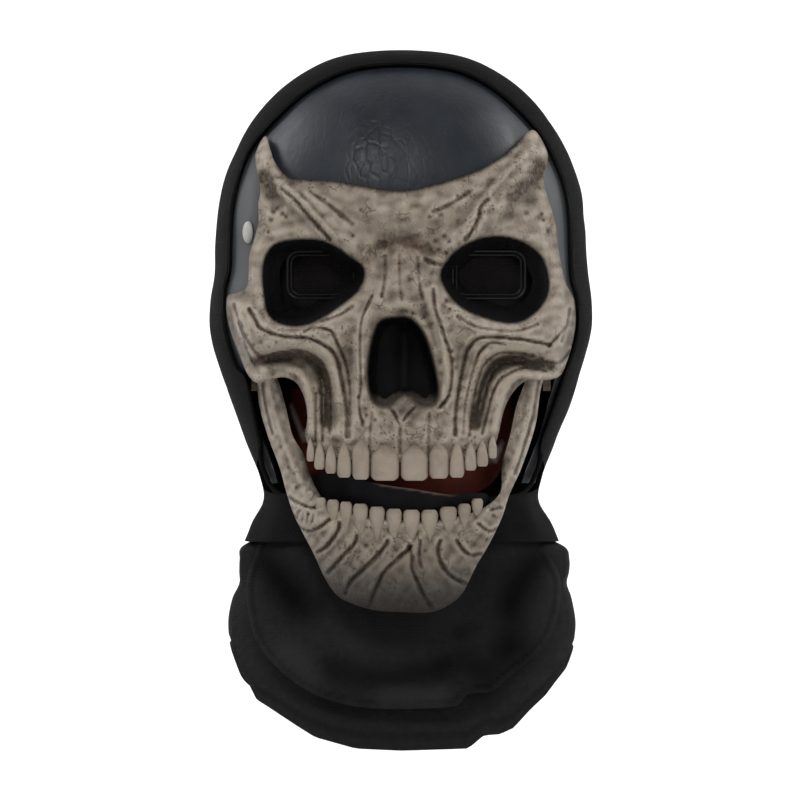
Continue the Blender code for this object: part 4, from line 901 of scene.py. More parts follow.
def cut_away(obj, *cutters):
    """Cuts closed blocks out of a piece, one after the other."""
    for verts, faces in cutters:
        cutter = add_piece("Cutter", verts, faces, obj.data.materials[0])
        modifier = obj.modifiers.new("Cut", "BOOLEAN")
        modifier.operation, modifier.solver, modifier.object = "DIFFERENCE", "EXACT", cutter
        keep_result(obj, modifier)
        bpy.data.objects.remove(cutter)
    obj.data.set_sharp_from_angle(angle=math.radians(SHARP_EDGE))
    return obj


TOOTH_SIDES, TOOTH_ROWS = 28, 22
TOOTH_SHAPES = {
    # share of the width at the neck, share of the length over which it widens, then how far
    # the neck and the crown stand proud
    "incisor": (0.30, 0.42, -0.6, 3.6),
    "side tooth": (0.12, 0.74, -0.4, 3.4),
    "lower tooth": (0.08, 0.90, -0.1, 3.4),
}
TOOTH_OVERLAP = 0.35


def tooth(left, right, root, tip, surface, thick, shape):
    """One tooth on a curved gum: a narrow neck, a full crown beside its neighbours, a rounded edge."""
    neck, widens, neck_proud, crown_proud = TOOTH_SHAPES[shape]
    middle, half = (left + right) / 2, (right - left) / 2 + TOOTH_OVERLAP
    shares = np.sin(np.linspace(0.0, 1.0, TOOTH_ROWS) * math.pi / 2)
    heights = root + (tip - root) * shares
    gum = surface(np.full(TOOTH_ROWS, middle), heights)
    rise = np.sin(np.minimum(shares / widens, 1.0) * math.pi / 2)
    width = half * (neck + (1.0 - neck) * rise)
    width *= np.sqrt(1.0 - 0.62 * np.maximum((shares - 0.80) / 0.20, 0.0) ** 2.5)
    proud = neck_proud + (crown_proud - neck_proud) * rise
    proud -= 1.2 * np.maximum((shares - 0.74) / 0.26, 0.0) ** 2
    depth = thick * (1.0 - 0.45 * np.maximum((shares - 0.75) / 0.25, 0.0) ** 2)
    turns = (np.arange(TOOTH_SIDES) + 0.5) * 2 * math.pi / TOOTH_SIDES
    across = np.sign(np.cos(turns)) * np.abs(np.cos(turns)) ** 0.78
    deep = np.sign(np.sin(turns)) * np.abs(np.sin(turns)) ** 0.8
    verts = []
    for row in range(TOOTH_ROWS):
        level = np.full(TOOTH_SIDES, heights[row])
        follow = surface(middle + width[row] * across, level) - gum[row]
        y = gum[row] - proud[row] + depth[row] / 2 * (1.0 + deep) + 0.8 * follow
        verts.append(np.column_stack([middle + width[row] * across, y, level]))
    verts = np.vstack(verts)
    upward = tip > root
    faces = []
    sides = TOOTH_SIDES
    for row in range(TOOTH_ROWS - 1):
        for k in range(sides):
            a, b = row * sides + k, row * sides + (k + 1) % sides
            quad = (a, b, b + sides, a + sides)
            faces.append(quad if upward else quad[::-1])
    first = tuple(range(sides))
    last = tuple(range((TOOTH_ROWS - 1) * sides, TOOTH_ROWS * sides))
    faces.append(first[::-1] if upward else first)
    faces.append(last if upward else last[::-1])
    return verts, faces


def seen(red, green, blue):
    """A colour as read on the picture, 0 to 255 each, in linear light."""
    shares = [value / 255.0 for value in (red, green, blue)]
    return tuple(s / 12.92 if s <= 0.04045 else ((s + 0.055) / 1.055) ** 2.4 for s in shares)


def node(tree, kind, inputs=None, **settings):
    """A node with its settings, and its inputs given as values or linked from other nodes' outputs."""
    made = tree.nodes.new(kind)
    for key, value in settings.items():
        setattr(made, key, value)
    for key, value in (inputs or {}).items():
        if isinstance(value, bpy.types.NodeSocket):
            tree.links.new(value, made.inputs[key])
        else:
            made.inputs[key].default_value = value
    return made


def maths(tree, operation, *values, clamp=False):
    """The result of a maths node."""
    made = node(tree, "ShaderNodeMath", dict(enumerate(values)), operation=operation, use_clamp=clamp)
    return made.outputs[0]


def times(tree, first, second, clamp=False):
    """Two values multiplied."""
    return maths(tree, "MULTIPLY", first, second, clamp=clamp)


def plus(tree, first, second):
    """Two values added."""
    return maths(tree, "ADD", first, second)


def vector_maths(tree, operation, first, second):
    """The result of a vector maths node; SCALE takes a plain value as its second input."""
    inputs = {0: first, (3 if operation == "SCALE" else 1): second}
    return node(tree, "ShaderNodeVectorMath", inputs, operation=operation).outputs[0]


def mixed(tree, factor, first, second, how="MIX"):
    """Two colours mixed by a factor."""
    first = (*first, 1.0) if isinstance(first, tuple) else first
    second = (*second, 1.0) if isinstance(second, tuple) else second
    made = node(tree, "ShaderNodeMix", {0: factor, 6: first, 7: second}, data_type="RGBA", blend_type=how)
    return made.outputs[2]


def spread(tree, value, low, high, low_out=0.0, high_out=1.0):
    """A value spread from one range to another, held at the ends."""
    made = node(tree, "ShaderNodeMapRange", {"Value": value, "From Min": low, "From Max": high,
                                             "To Min": low_out, "To Max": high_out})
    return made.outputs["Result"]


def noise_of(tree, place, scale, detail=3.0, roughness=0.55, distortion=0.0):
    """The value of a noise texture."""
    made = node(tree, "ShaderNodeTexNoise", {"Vector": place, "Scale": scale, "Detail": detail,
                                             "Roughness": roughness, "Distortion": distortion})
    return made.outputs["Fac"]


def cell_edges(tree, place, scale):
    """Distance to the edges of irregular cells."""
    made = node(tree, "ShaderNodeTexVoronoi", {"Vector": place, "Scale": scale},
                feature="DISTANCE_TO_EDGE")
    return made.outputs["Distance"]


def mark_of(tree, name):
    """A value painted on the piece's points."""
    return node(tree, "ShaderNodeAttribute", attribute_name=name).outputs["Fac"]


def place_of(tree, stretch=(1.0, 1.0, 1.0)):
    """Object coordinates, stretched along each axis."""
    place = node(tree, "ShaderNodeTexCoord").outputs["Object"]
    return node(tree, "ShaderNodeMapping", {"Vector": place, "Scale": stretch}).outputs["Vector"]


def group_tree(name, inputs, outputs):
    """An empty shader node group with its sockets, its input node's outputs and its output node."""
    tree = bpy.data.node_groups.new(name, "ShaderNodeTree")
    for label, kind, default in inputs:
        socket = tree.interface.new_socket(label, in_out="INPUT", socket_type=kind)
        if default is not None:
            socket.default_value = default
    for label, kind in outputs:
        tree.interface.new_socket(label, in_out="OUTPUT", socket_type=kind)
    return tree, tree.nodes.new("NodeGroupInput").outputs, tree.nodes.new("NodeGroupOutput").inputs


def pore_group():
    """Fine pores, pinholes and short cracks of cast and painted bone."""
    tree, given, result = group_tree(
        "Bone pores", [("Place", "NodeSocketVector", None), ("Size", "NodeSocketFloat", 1.0)],
        [("Pores", "NodeSocketFloat"), ("Cracks", "NodeSocketFloat"), ("Grain", "NodeSocketFloat"),
         ("Fibres", "NodeSocketFloat")])
    place = vector_maths(tree, "SCALE", given["Place"], given["Size"])
    bent = node(tree, "ShaderNodeTexNoise", {"Vector": place, "Scale": 240.0, "Detail": 2.0})
    offset = vector_maths(tree, "SCALE", bent.outputs["Color"], 0.006)
    wavy = vector_maths(tree, "ADD", place, offset)
    patches = spread(tree, noise_of(tree, place, 55.0, 2.0), 0.46, 0.64)
    cells = node(tree, "ShaderNodeTexVoronoi", {"Vector": place, "Scale": 420.0, "Randomness": 1.0})
    holes = spread(tree, cells.outputs["Distance"], 0.30, 0.12)
    tree.links.new(times(tree, holes, patches), result["Pores"])
    lines = spread(tree, cell_edges(tree, wavy, 150.0), 0.05, 0.0)
    some = spread(tree, noise_of(tree, place, 90.0, 3.0), 0.52, 0.62)
    tree.links.new(times(tree, lines, some), result["Cracks"])
    tree.links.new(noise_of(tree, place, 900.0, 4.0, 0.65), result["Grain"])
    upright = vector_maths(tree, "MULTIPLY", wavy, (1.0, 1.0, 0.28))
    tree.links.new(spread(tree, noise_of(tree, upright, 380.0, 5.0, 0.62), 0.36, 0.66), result["Fibres"])
    return tree


def knit_group():
    """Fine knitted cloth: upright ribs crossed by rows of stitches, with a little fluff."""
    tree, given, result = group_tree(
        "Fine knit", [("Place", "NodeSocketVector", None), ("Ribs", "NodeSocketFloat", 900.0)],
        [("Height", "NodeSocketFloat"), ("Fluff", "NodeSocketFloat")])
    scaled = vector_maths(tree, "SCALE", given["Place"], given["Ribs"])
    parts = node(tree, "ShaderNodeSeparateXYZ", {0: scaled}).outputs
    across = plus(tree, parts[0], times(tree, parts[1], 0.8))
    ribs = maths(tree, "SINE", times(tree, across, 2.4))
    leaning = plus(tree, parts[2], times(tree, maths(tree, "ABSOLUTE", ribs), 0.6))
    rows = maths(tree, "SINE", times(tree, leaning, 3.1))
    both = times(tree, maths(tree, "ABSOLUTE", ribs), plus(tree, rows, 1.6))
    tree.links.new(times(tree, both, 0.4), result["Height"])
    tree.links.new(noise_of(tree, given["Place"], 260.0, 4.0, 0.7), result["Fluff"])
    return tree


def group_outputs(tree, name, inputs):
    """The outputs of a shared node group, placed with its inputs."""
    return node(tree, "ShaderNodeGroup", inputs, node_tree=bpy.data.node_groups[name]).outputs


def new_material(name, roughness, metallic=0.0, specular=0.5):
    """A material with a Principled surface, and its node tree and shader."""
    made = bpy.data.materials.new(name)
    made.use_nodes = True
    shader = made.node_tree.nodes["Principled BSDF"]
    shader.inputs["Roughness"].default_value = roughness
    shader.inputs["Metallic"].default_value = metallic
    shader.inputs["Specular IOR Level"].default_value = specular
    return made, made.node_tree, shader


def bumped(tree, shader, height, distance, strength=1.0):
    """Gives the shader a bump from a height."""
    made = node(tree, "ShaderNodeBump", {"Height": height, "Distance": distance, "Strength": strength})
    tree.links.new(made.outputs["Normal"], shader.inputs["Normal"])


# GROOVE is the brown of the grooves and hollows: stain and painted shade together.
BLOTCH, GROOVE, SOCKET_BLACK = (112, 95, 79), (70, 56, 45), (10, 10, 12)


def bone_material(name, settings, pitted=1.0):
    """Bone paint: beige, light on crests from wear and painted highlight, brown in grooves from stain and
    painted shade, black washed into the sockets.
    """
    made, tree, shader = new_material(name, 0.58, specular=0.28)
    place = place_of(tree)
    pores = group_outputs(tree, "Bone pores", {"Place": place})
    soft = noise_of(tree, place, 48.0, 4.0, 0.6)
    low_place = place_of(tree, (1.0, 1.0, 0.6))
    blotches = spread(tree, noise_of(tree, low_place, 95.0, 5.0, 0.68, 0.6), 0.48, 0.68)
    stain, worn = mark_of(tree, "stain"), mark_of(tree, "worn")
    base = mixed(tree, soft, tuple(settings.bone_colour), seen(166, 154, 138))
    base = mixed(tree, times(tree, blotches, 0.45 * settings.stain), base, seen(*BLOTCH))
    # Lighter on the crests: partly wear, partly painted highlight.
    base = mixed(tree, times(tree, worn, 0.55), base, seen(196, 184, 168))
    # Brown in the grooves and hollows: partly stain, partly painted shade.
    broken = spread(tree, noise_of(tree, place, 420.0, 3.0), 0.25, 0.6, 0.55, 1.15)
    rough_edge = times(tree, stain, broken)
    base = mixed(tree, times(tree, rough_edge, settings.stain, clamp=True), base, seen(*GROOVE))
    red_mark = mark_of(tree, "red")
    patchy = spread(tree, noise_of(tree, place, 160.0, 5.0, 0.7), 0.4, 0.6)
    base = mixed(tree, times(tree, red_mark, patchy), base, seen(92, 66, 52))
    base = mixed(tree, times(tree, pores["Pores"], 0.55 * pitted), base, seen(66, 52, 42))
    base = mixed(tree, times(tree, pores["Cracks"], 0.4 * pitted), base, seen(74, 60, 49))
    fibres = pores["Fibres"]
    base = mixed(tree, times(tree, fibres, 0.22 * pitted), base, seen(*BLOTCH))
    shade = mark_of(tree, "shade")
    base = mixed(tree, shade, base, seen(44, 40, 36))
    black = mark_of(tree, "black")
    uneven = times(tree, noise_of(tree, place, 300.0, 4.0), 0.3)
    ragged = spread(tree, plus(tree, black, uneven), 0.22, 1.0)
    base = mixed(tree, ragged, base, seen(*SOCKET_BLACK))
    tree.links.new(base, shader.inputs["Base Color"])
    tree.links.new(spread(tree, black, 0.0, 1.0, 0.58, 0.7), shader.inputs["Roughness"])
    tree.links.new(spread(tree, black, 0.0, 1.0, 0.28, 0.06), shader.inputs["Specular IOR Level"])
    height = plus(tree, times(tree, pores["Grain"], 0.35), times(tree, blotches, -0.25))
    height = maths(tree, "SUBTRACT", height, times(tree, pores["Pores"], pitted))
    height = maths(tree, "SUBTRACT", height, times(tree, fibres, 0.55 * pitted))
    height = maths(tree, "SUBTRACT", height, times(tree, pores["Cracks"], 0.7 * pitted))
    bumped(tree, shader, height, 0.0009, 0.9)
    return made


def knit_material(name, colour, ribs, tones=False):
    """Black knitted cloth; with tones, painted light and shade lightens or darkens its folds and crown by the
    value painted on them.
    """
    made, tree, shader = new_material(name, 0.9, specular=0.06)
    place = place_of(tree)
    knit = group_outputs(tree, "Fine knit", {"Place": place, "Ribs": ribs})
    fluff = spread(tree, knit["Fluff"], 0.3, 0.75, 0.0, 0.6)
    base = mixed(tree, fluff, colour, tuple(c * 1.9 for c in colour))
    if tones:
        # Painted light where the folds face the lamps, painted shade in their hollows and over the hood's
        # crown.
        tone = mark_of(tree, "tone")
        base = mixed(tree, spread(tree, tone, 0.0, 1.0), base, seen(44, 44, 45))
        base = mixed(tree, spread(tree, tone, 0.0, -1.0), base, seen(9, 9, 9))
    tree.links.new(base, shader.inputs["Base Color"])
    bumped(tree, shader, knit["Height"], 0.0003, 0.6)
    return made


def shell_material(settings):
    """Dark moulded rubber shell: satin gloss with fine wrinkles, greyer at its sides."""
    made, tree, shader = new_material("dark moulded shell", settings.gloss_roughness, specular=0.3)
    place = place_of(tree)
    cloudy = spread(tree, noise_of(tree, place_of(tree, (1.0, 1.0, 0.4)), 24.0, 3.0), 0.35, 0.65)
    base = mixed(tree, cloudy, tuple(c * 0.7 for c in settings.shell_colour), seen(42, 46, 52))
    base = mixed(tree, mark_of(tree, "side"), base, seen(86, 88, 90))
    matt = mark_of(tree, "matt")
    base = mixed(tree, matt, base, seen(40, 41, 43))
    specks = spread(tree, noise_of(tree, place, 700.0, 2.0), 0.68, 0.74, 0.0, 0.25)
    base = mixed(tree, specks, base, seen(90, 92, 96))
    tree.links.new(base, shader.inputs["Base Color"])
    smear = spread(tree, noise_of(tree, place_of(tree, (1.0, 1.0, 0.25)), 60.0, 4.0), 0.3, 0.7, -0.08, 0.14)
    rough = plus(tree, smear, settings.gloss_roughness)
    tree.links.new(plus(tree, rough, times(tree, matt, 0.5)), shader.inputs["Roughness"])
    tree.links.new(spread(tree, matt, 0.0, 1.0, 0.26, 0.05), shader.inputs["Specular IOR Level"])
    wrinkle_place = place_of(tree, (1.0, 1.0, 0.45))
    fine = spread(tree, cell_edges(tree, wrinkle_place, 190.0), 0.0, 0.16)
    lumpy = noise_of(tree, wrinkle_place, 150.0, 5.0, 0.6, 1.2)
    height = plus(tree, times(tree, fine, 0.25), lumpy)
    height = times(tree, height, plus(tree, mark_of(tree, "wrinkled"), 0.12))
    bumped(tree, shader, height, 0.0011, 0.8)
    return made


def plain_material(name, colour, roughness, metallic=0.0, second=None, scale=120.0, specular=0.5):
    """One colour with a little cloudiness and a fine uneven surface."""
    made, tree, shader = new_material(name, roughness, metallic, specular)
    place = place_of(tree)
    cloud = spread(tree, noise_of(tree, place, scale, 4.0), 0.35, 0.7)
    base = mixed(tree, cloud, colour, second or tuple(c * 1.5 for c in colour))
    tree.links.new(base, shader.inputs["Base Color"])
    bumped(tree, shader, noise_of(tree, place, scale * 4.0, 3.0), 0.0002, 0.6)
    return made


def mouth_material():
    """Red-brown rubber behind the teeth, darker at the sides, with paler slivers."""
    made, tree, shader = new_material("mouth lining", 0.65, specular=0.15)
    place = place_of(tree)
    cloud = spread(tree, noise_of(tree, place, 70.0, 4.0), 0.35, 0.7)
    base = mixed(tree, cloud, seen(82, 32, 20), seen(108, 44, 30))
    base = mixed(tree, mark_of(tree, "dark"), base, seen(24, 18, 20))
    base = mixed(tree, mark_of(tree, "pale"), base, seen(236, 216, 206))
    tree.links.new(base, shader.inputs["Base Color"])
    bumped(tree, shader, noise_of(tree, place, 300.0, 3.0), 0.0003, 0.6)
    return made


WIRE_SIDES = 5


def wire_group():
    """Geometry nodes that turn the edges of a net into round wires."""
    tree = bpy.data.node_groups.new("Net wires", "GeometryNodeTree")
    tree.interface.new_socket("Geometry", in_out="INPUT", socket_type="NodeSocketGeometry")
    tree.interface.new_socket("Wire radius", in_out="INPUT", socket_type="NodeSocketFloat")
    tree.interface.new_socket("Material", in_out="INPUT", socket_type="NodeSocketMaterial")
    tree.interface.new_socket("Geometry", in_out="OUTPUT", socket_type="NodeSocketGeometry")
    given, result = tree.nodes.new("NodeGroupInput").outputs, tree.nodes.new("NodeGroupOutput").inputs
    lines = node(tree, "GeometryNodeMeshToCurve", {"Mesh": given["Geometry"]}).outputs["Curve"]
    section = node(tree, "GeometryNodeCurvePrimitiveCircle",
                   {"Resolution": WIRE_SIDES, "Radius": given["Wire radius"]}).outputs["Curve"]
    wires = node(tree, "GeometryNodeCurveToMesh",
                 {"Curve": lines, "Profile Curve": section, "Fill Caps": True}).outputs["Mesh"]
    smooth = node(tree, "GeometryNodeSetShadeSmooth", {"Geometry": wires}).outputs["Geometry"]
    real = node(tree, "GeometryNodeRealizeInstances", {"Geometry": smooth}).outputs["Geometry"]
    painted = node(tree, "GeometryNodeSetMaterial", {"Geometry": real, "Material": given["Material"]})
    tree.links.new(painted.outputs["Geometry"], result["Geometry"])
    return tree


def run_nodes(obj, group, values):
    """Puts geometry nodes on an object, sets their named inputs, and keeps the result as a plain mesh."""
    modifier = obj.modifiers.new("Nodes", "NODES")
    modifier.node_group = group
    for socket in group.interface.items_tree:
        if getattr(socket, "in_out", "") == "INPUT" and socket.name in values:
            modifier[socket.identifier] = values[socket.name]
    keep_result(obj, modifier)
    return obj


def lining_material():
    """Black satin rubber behind the lower teeth, with a thin cream rim."""
    made, tree, shader = new_material("jaw lining", 0.55, specular=0.15)
    place = place_of(tree)
    cloud = spread(tree, noise_of(tree, place, 60.0, 4.0), 0.4, 0.65)
    base = mixed(tree, cloud, seen(12, 12, 15), seen(24, 23, 28))
    base = mixed(tree, mark_of(tree, "rim"), base, seen(120, 104, 88))
    tree.links.new(base, shader.inputs["Base Color"])
    bumped(tree, shader, noise_of(tree, place, 260.0, 3.0), 0.0003, 0.6)
    return made


def tones(x, z, rows):
    """Light and dark of the cloth's folds, from -1 to 1."""
    return np.clip(forms(x, z, rows), -1.0, 1.0)


def within_polygon(x, z, corners, soft=0.7):
    """1 inside a small painted patch, 0 outside it."""
    return ease((depth_inside(x, z, np.array(corners, float)) + soft / 2) / soft)


def crown_painted_shade(z):
    """Painted shade: the hood's knit is darkened over the crown."""
    return -ease((z + 80.0) / 70.0)


def crown_heights(rows, crown_rows, first_step, last_step, low_top, low_end):
    """Heights of a head piece's rings: close together over the crown, then evenly down to its end."""
    return np.concatenate([CROWN_TOP - np.linspace(first_step, last_step, crown_rows) ** 2,
                           np.linspace(low_top, low_end, rows - crown_rows)])


SWELL_SIZE, SWELL_SHARE = 52.0, 0.6
PLEATS, PLEAT_DEPTH, PLEAT_TOP, PLEAT_LEAN = 17.0, 0.45, -206.0, 0.05
HEM_RADIUS = 1.25
# The hem leaves out points past this share of the half width, where the front turns to the side.
HEM_REACH = 0.97


def build_hood(settings):
    """Cloth hood: crown, sides and neck, with a turned hem round the face opening."""
    heights = crown_heights(HOOD_DOWN, 44, 0.3, 6.8, -42.0, HOOD_HEM)
    outer, inner = [], []
    for z in heights:
        for stack, inset in ((outer, 0.0), (inner, CLOTH)):
            points = ring(HEAD, z, inset, HOOD_AROUND)
            swell = settings.fold_depth * 1000 * lumps(points[:, 0] + points[:, 1], points[:, 2],
                                                       SWELL_SIZE, 8)
            low = ease((PLEAT_TOP - points[:, 2]) / 22.0)
            around = np.arctan2(points[:, 0], -points[:, 1])
            pleats = low * PLEAT_DEPTH * np.sin(around * PLEATS + PLEAT_LEAN * points[:, 2])
            out = points[:, :2] / np.maximum(np.linalg.norm(points[:, :2], axis=1), 1.0)[:, None]
            lift = (SWELL_SHARE * swell + pleats) * ease((CROWN_TOP - z) / 60.0)
            points[:, :2] += out * lift[:, None]
            stack.append(points)
    verts, faces = shell(outer, inner, (CROWN_TOP, CROWN_TOP - CLOTH))
    hood = add_piece("hood_cloth", verts, faces, MATERIALS["hood"], {"tone": crown_painted_shade(verts[:, 2])})
    window = rounded(HOOD_WINDOW, LOOP_FINE)
    cut_away(hood, prism(window, -FAR, WINDOW_BACK))
    edge_y = front_of(HEAD, window[:, 0], window[:, 1], CLOTH / 2)
    across = np.abs(window[:, 0]) / HEAD.read("half_width", window[:, 1])
    edge = np.column_stack([window[:, 0], edge_y, window[:, 1]])[across < HEM_REACH]
    verts, faces = tube(smooth_loop(edge), HEM_RADIUS)
    hem = add_piece("hood_hem", verts, faces, MATERIALS["hood"], {"tone": crown_painted_shade(verts[:, 2])})
    for piece in (hood, hem):
        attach(piece, HEAD_BODY)
    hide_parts("hood")
    return hood, hem


def smooth_loop(points, times=2):
    """A closed run of points with its small kinks evened out."""
    for _ in range(times):
        points = (np.roll(points, 1, axis=0) + 2 * points + np.roll(points, -1, axis=0)) / 4.0
    return points


def block_outline(left, low, right, high):
    """Outline of a plain block."""
    return np.array(((left, low), (right, low), (right, high), (left, high)))


def build_cap():
    """Moulded cap: forehead, temples and cheek sides."""
    heights = crown_heights(CAP_DOWN, 34, 0.4, 5.4, -26.0, -221.0)
    outer = [ring(HEAD, z, CAP_INSET, CAP_AROUND) for z in heights]
    inner = [ring(HEAD, z, CAP_INSET + CAP_WALL, CAP_AROUND) for z in heights]
    verts, faces = shell(outer, inner, (CROWN_TOP - CAP_INSET, CROWN_TOP - CAP_INSET - CAP_WALL))
    x, z = verts[:, 0], verts[:, 2]
    below_brow, below_ear = ease((-38.0 - z) / 30.0), ease((-112.0 - z) / 40.0)
    marks = {
        "side": 0.9 * ease((np.abs(x) - 68.0) / 9.0) * below_brow * (1.0 - 0.75 * below_ear),
        "matt": ease((-150.0 - z) / 14.0),
        "wrinkled": 0.75 * np.exp(-((x + 13.0) / 16.0) ** 2 - ((z + 42.0) / 24.0) ** 2),
    }
    cap = add_piece("cap_shell", verts, faces, MATERIALS["shell"], marks)
    low_box = block_outline(-FAR, FAR_BELOW, FAR, CAP_LOW)
    back_box = block_outline(-FAR, FAR_BELOW, FAR, FAR)
    chin_box = block_outline(-CHIN_HALF_WIDTH, FAR_BELOW, CHIN_HALF_WIDTH, CHIN_TOP)
    cut_away(cap, prism(rounded(CAP_WINDOW, 6.0), -FAR, WINDOW_BACK), prism(back_box, CAP_BACK, FAR),
             prism(low_box, -FAR, FAR), prism(chin_box, -FAR, FAR))
    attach(cap, HEAD_BODY)
    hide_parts("skull_cap")
    return cap


def bone_marks(x, z, height_of, carving):
    """Values painted on bone from its relief: brown in the grooves, partly stain and partly painted shade,
    and light on the crests, partly wear and partly painted highlight.
    """
    sunk = hollowness(height_of, x, z)
    # Over a broad reach the hollowness gives painted shade in the hollows and painted highlight on the
    # swells.
    broad = hollowness(height_of, x, z, 3.4, 1.0)
    dips = np.clip(-carving / 1.1, 0.0, 1.0)
    return {
        "stain": np.clip(0.42 * np.maximum(sunk, 0.0) + 0.55 * np.maximum(broad, 0.0) + 0.2 * dips, 0.0, 1.0),
        "worn": np.clip(-0.6 * sunk - 0.8 * broad, 0.0, 1.0),
        "red": np.zeros(len(x)), "shade": np.zeros(len(x)), "black": np.zeros(len(x)),
    }


def both_sides(marks, back):
    """The marks of a wall's front points, then the given plain values for its back points."""
    return {name: np.concatenate([values, np.full(len(values), back.get(name, 0.0))])
            for name, values in marks.items()}


def spot(x, z, at_x, at_z, half_wide, half_high):
    """1 at the middle of a soft round spot, falling to 0 around it."""
    return np.exp(-((x - at_x) / half_wide) ** 2 - ((z - at_z) / half_high) ** 2)


def face_blackness(x, z):
    """Black paint in the sockets and the nose, and the soft dark edge along the brow."""
    left, right = (depth_inside(x, z, loop) for loop in socket_loops())
    sockets = ease((np.maximum(left, right) + 1.6) / 2.8)
    nose_depth = depth_inside(x, z, rounded(NOSE_HOLE, LOOP_FINE))
    spine = np.exp(-((x - 2.0) / 4.5) ** 2)
    nose = 0.93 * ease((nose_depth + 0.8) / 2.8) * (1.0 - (0.35 + 0.4 * spine) * ease((-163.0 - z) / 9.0))
    smudge = 0.55 * spot(x, z, 4.0, -174.0, 13.0, 5.0)
    from_edge = depth_inside(x, z, rounded(FACE_EDGE, LOOP_FINE))
    brow = 0.8 * np.exp(-(from_edge / 1.5) ** 2) * ease((z + 72.0) / 6.0) * ease((66.0 - np.abs(x)) / 6.0)
    edge = 0.25 * np.exp(-(from_edge / 1.0) ** 2)
    return np.clip(np.maximum.reduce([sockets, nose, smudge, brow, edge]), 0.0, 1.0)


UPPER_TOOTH_DEPTH, LOWER_TOOTH_DEPTH, INCISORS_END = 6.4, 5.4, 22.0


def build_face(settings):
    """Bone face: carved front, sockets and nose, with the upper teeth."""
    holes = [loop_inset(loop, SOCKET_WALL + SOCKET_RIM, 4.0) for loop in socket_loops()]
    nose = rounded(NOSE_HOLE, LOOP_FINE)
    holes.append(loop_inset(nose, NOSE_WALL + 1.0, 4.0))
    flat = flat_mesh(FACE_EDGE, holes, [*socket_loops(), nose], settings.fineness * 1000, FACE_TURN)
    x, z, _ = flat
    open_bone = bare_bone(x, z)
    edge_calm = ease(depth_inside(x, z, rounded(FACE_EDGE, LOOP_FINE)) / 2.0)

    def carved(px, pz):
        return settings.carving * face_carving(px, pz)

    lifted = carved(x, z) * open_bone * (0.35 + 0.65 * edge_calm)
    plain = face_front(x, z)
    thick = BONE_WALL * np.minimum(steepness(face_front, x, z), 2.0)
    marks = bone_marks(x, z, carved, lifted)
    marks["stain"] *= open_bone
    marks["worn"] *= open_bone
    marks["black"] = face_blackness(x, z)
    # Painted shade, together with the stain, in the broad sunk bands and temple hollows.
    hollows = forms(x, z, [row for row in FACE_CARVING if row[2] >= 2.5 and row[1] < 0])
    marks["stain"] = np.clip(marks["stain"] + 0.30 * np.clip(-hollows, 0.0, 1.6) * open_bone, 0.0, 1.0)
    marks["red"] = 0.85 * spot(x, z, 3.0, -93.0, 12.0, 6.5) + 0.4 * spot(x, z, -28.0, -77.0, 8.0, 5.0)
    # Painted shade in the broad hollows of the face and painted highlight on its broad swells; painted shade
    # also on its far sides and between the brows.
    bowl = hollowness(lambda px, pz: -face_front(px, pz), x, z, 5.5, 1.6) * open_bone * edge_calm
    marks["worn"] = np.clip(marks["worn"] + 0.5 * np.maximum(-bowl, 0.0), 0.0, 1.0)
    marks["shade"] = 0.25 * ease((np.abs(x) - 78.0) / 9.0) + 0.42 * np.maximum(bowl, 0.0)
    marks["shade"] += 0.45 * spot(x, z, 1.0, -87.0, 9.0, 8.0)
    marks = both_sides(marks, {"black": 0.35, "shade": 0.3})
    face = add_piece("bone_face", *wall(flat, plain - lifted, plain + thick), MATERIALS["bone"], marks)
    teeth = add_teeth("upper_teeth", [
        tooth(left, right, root, tip, upper_gum, UPPER_TOOTH_DEPTH,
              "side tooth" if abs((left + right) / 2) > INCISORS_END else "incisor")
        for left, right, root, tip in UPPER_TEETH])
    for piece in (face, teeth):
        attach(piece, HEAD_BODY)
        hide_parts("skull_face")
    return face, teeth


def upper_gum(x, z):
    """The plain curve that the upper teeth follow."""
    return front_of(FACE, x, np.maximum(z, -196.0)) - 2.2


def lower_gum(x, z):
    """The plain curve that the lower teeth follow."""
    return front_of(JAW, x, z)


def add_teeth(name, rows):
    """A row of teeth as one piece, painted darker brown at their necks and where they meet."""
    verts, faces = join(rows)
    marks = {key: [] for key in ("stain", "worn", "red", "shade", "black")}
    for tooth_verts, _ in rows:
        points = np.asarray(tooth_verts)
        width = points[:, 0].max() - points[:, 0].min()
        side = np.abs(points[:, 0] - points[:, 0].mean()) / (width / 2)
        down = np.abs(points[:, 2] - points[0, 2]) / abs(points[-1, 2] - points[0, 2])
        meeting, neck = ease((side - 0.8) / 0.2), ease((0.3 - down) / 0.3)
        marks["stain"].append(np.clip(0.45 * meeting + 0.4 * neck, 0.0, 0.8))
        # Painted lighter down the middle of each crown, towards its edge.
        marks["worn"].append(0.25 * ease((0.75 - side) / 0.5) * ease((down - 0.45) / 0.3))
        for key in ("red", "shade", "black"):
            marks[key].append(np.zeros(len(points)))
    marks = {key: np.concatenate(values) for key, values in marks.items()}
    return add_piece(name, verts, faces, MATERIALS["tooth"], marks)


ARM_INNER, ARM_OUTER, ARM_EYE = 70.8, 74.6, 8.0
# Where the inner edges of the jaw are washed black, in (x, z).
LEFT_DARK_EDGE = ((-46.0, -192.0), (-43.0, -204.0), (-36.0, -216.0))
RIGHT_DARK_EDGE = ((49.0, -200.0), (46.0, -210.0), (42.0, -217.0))


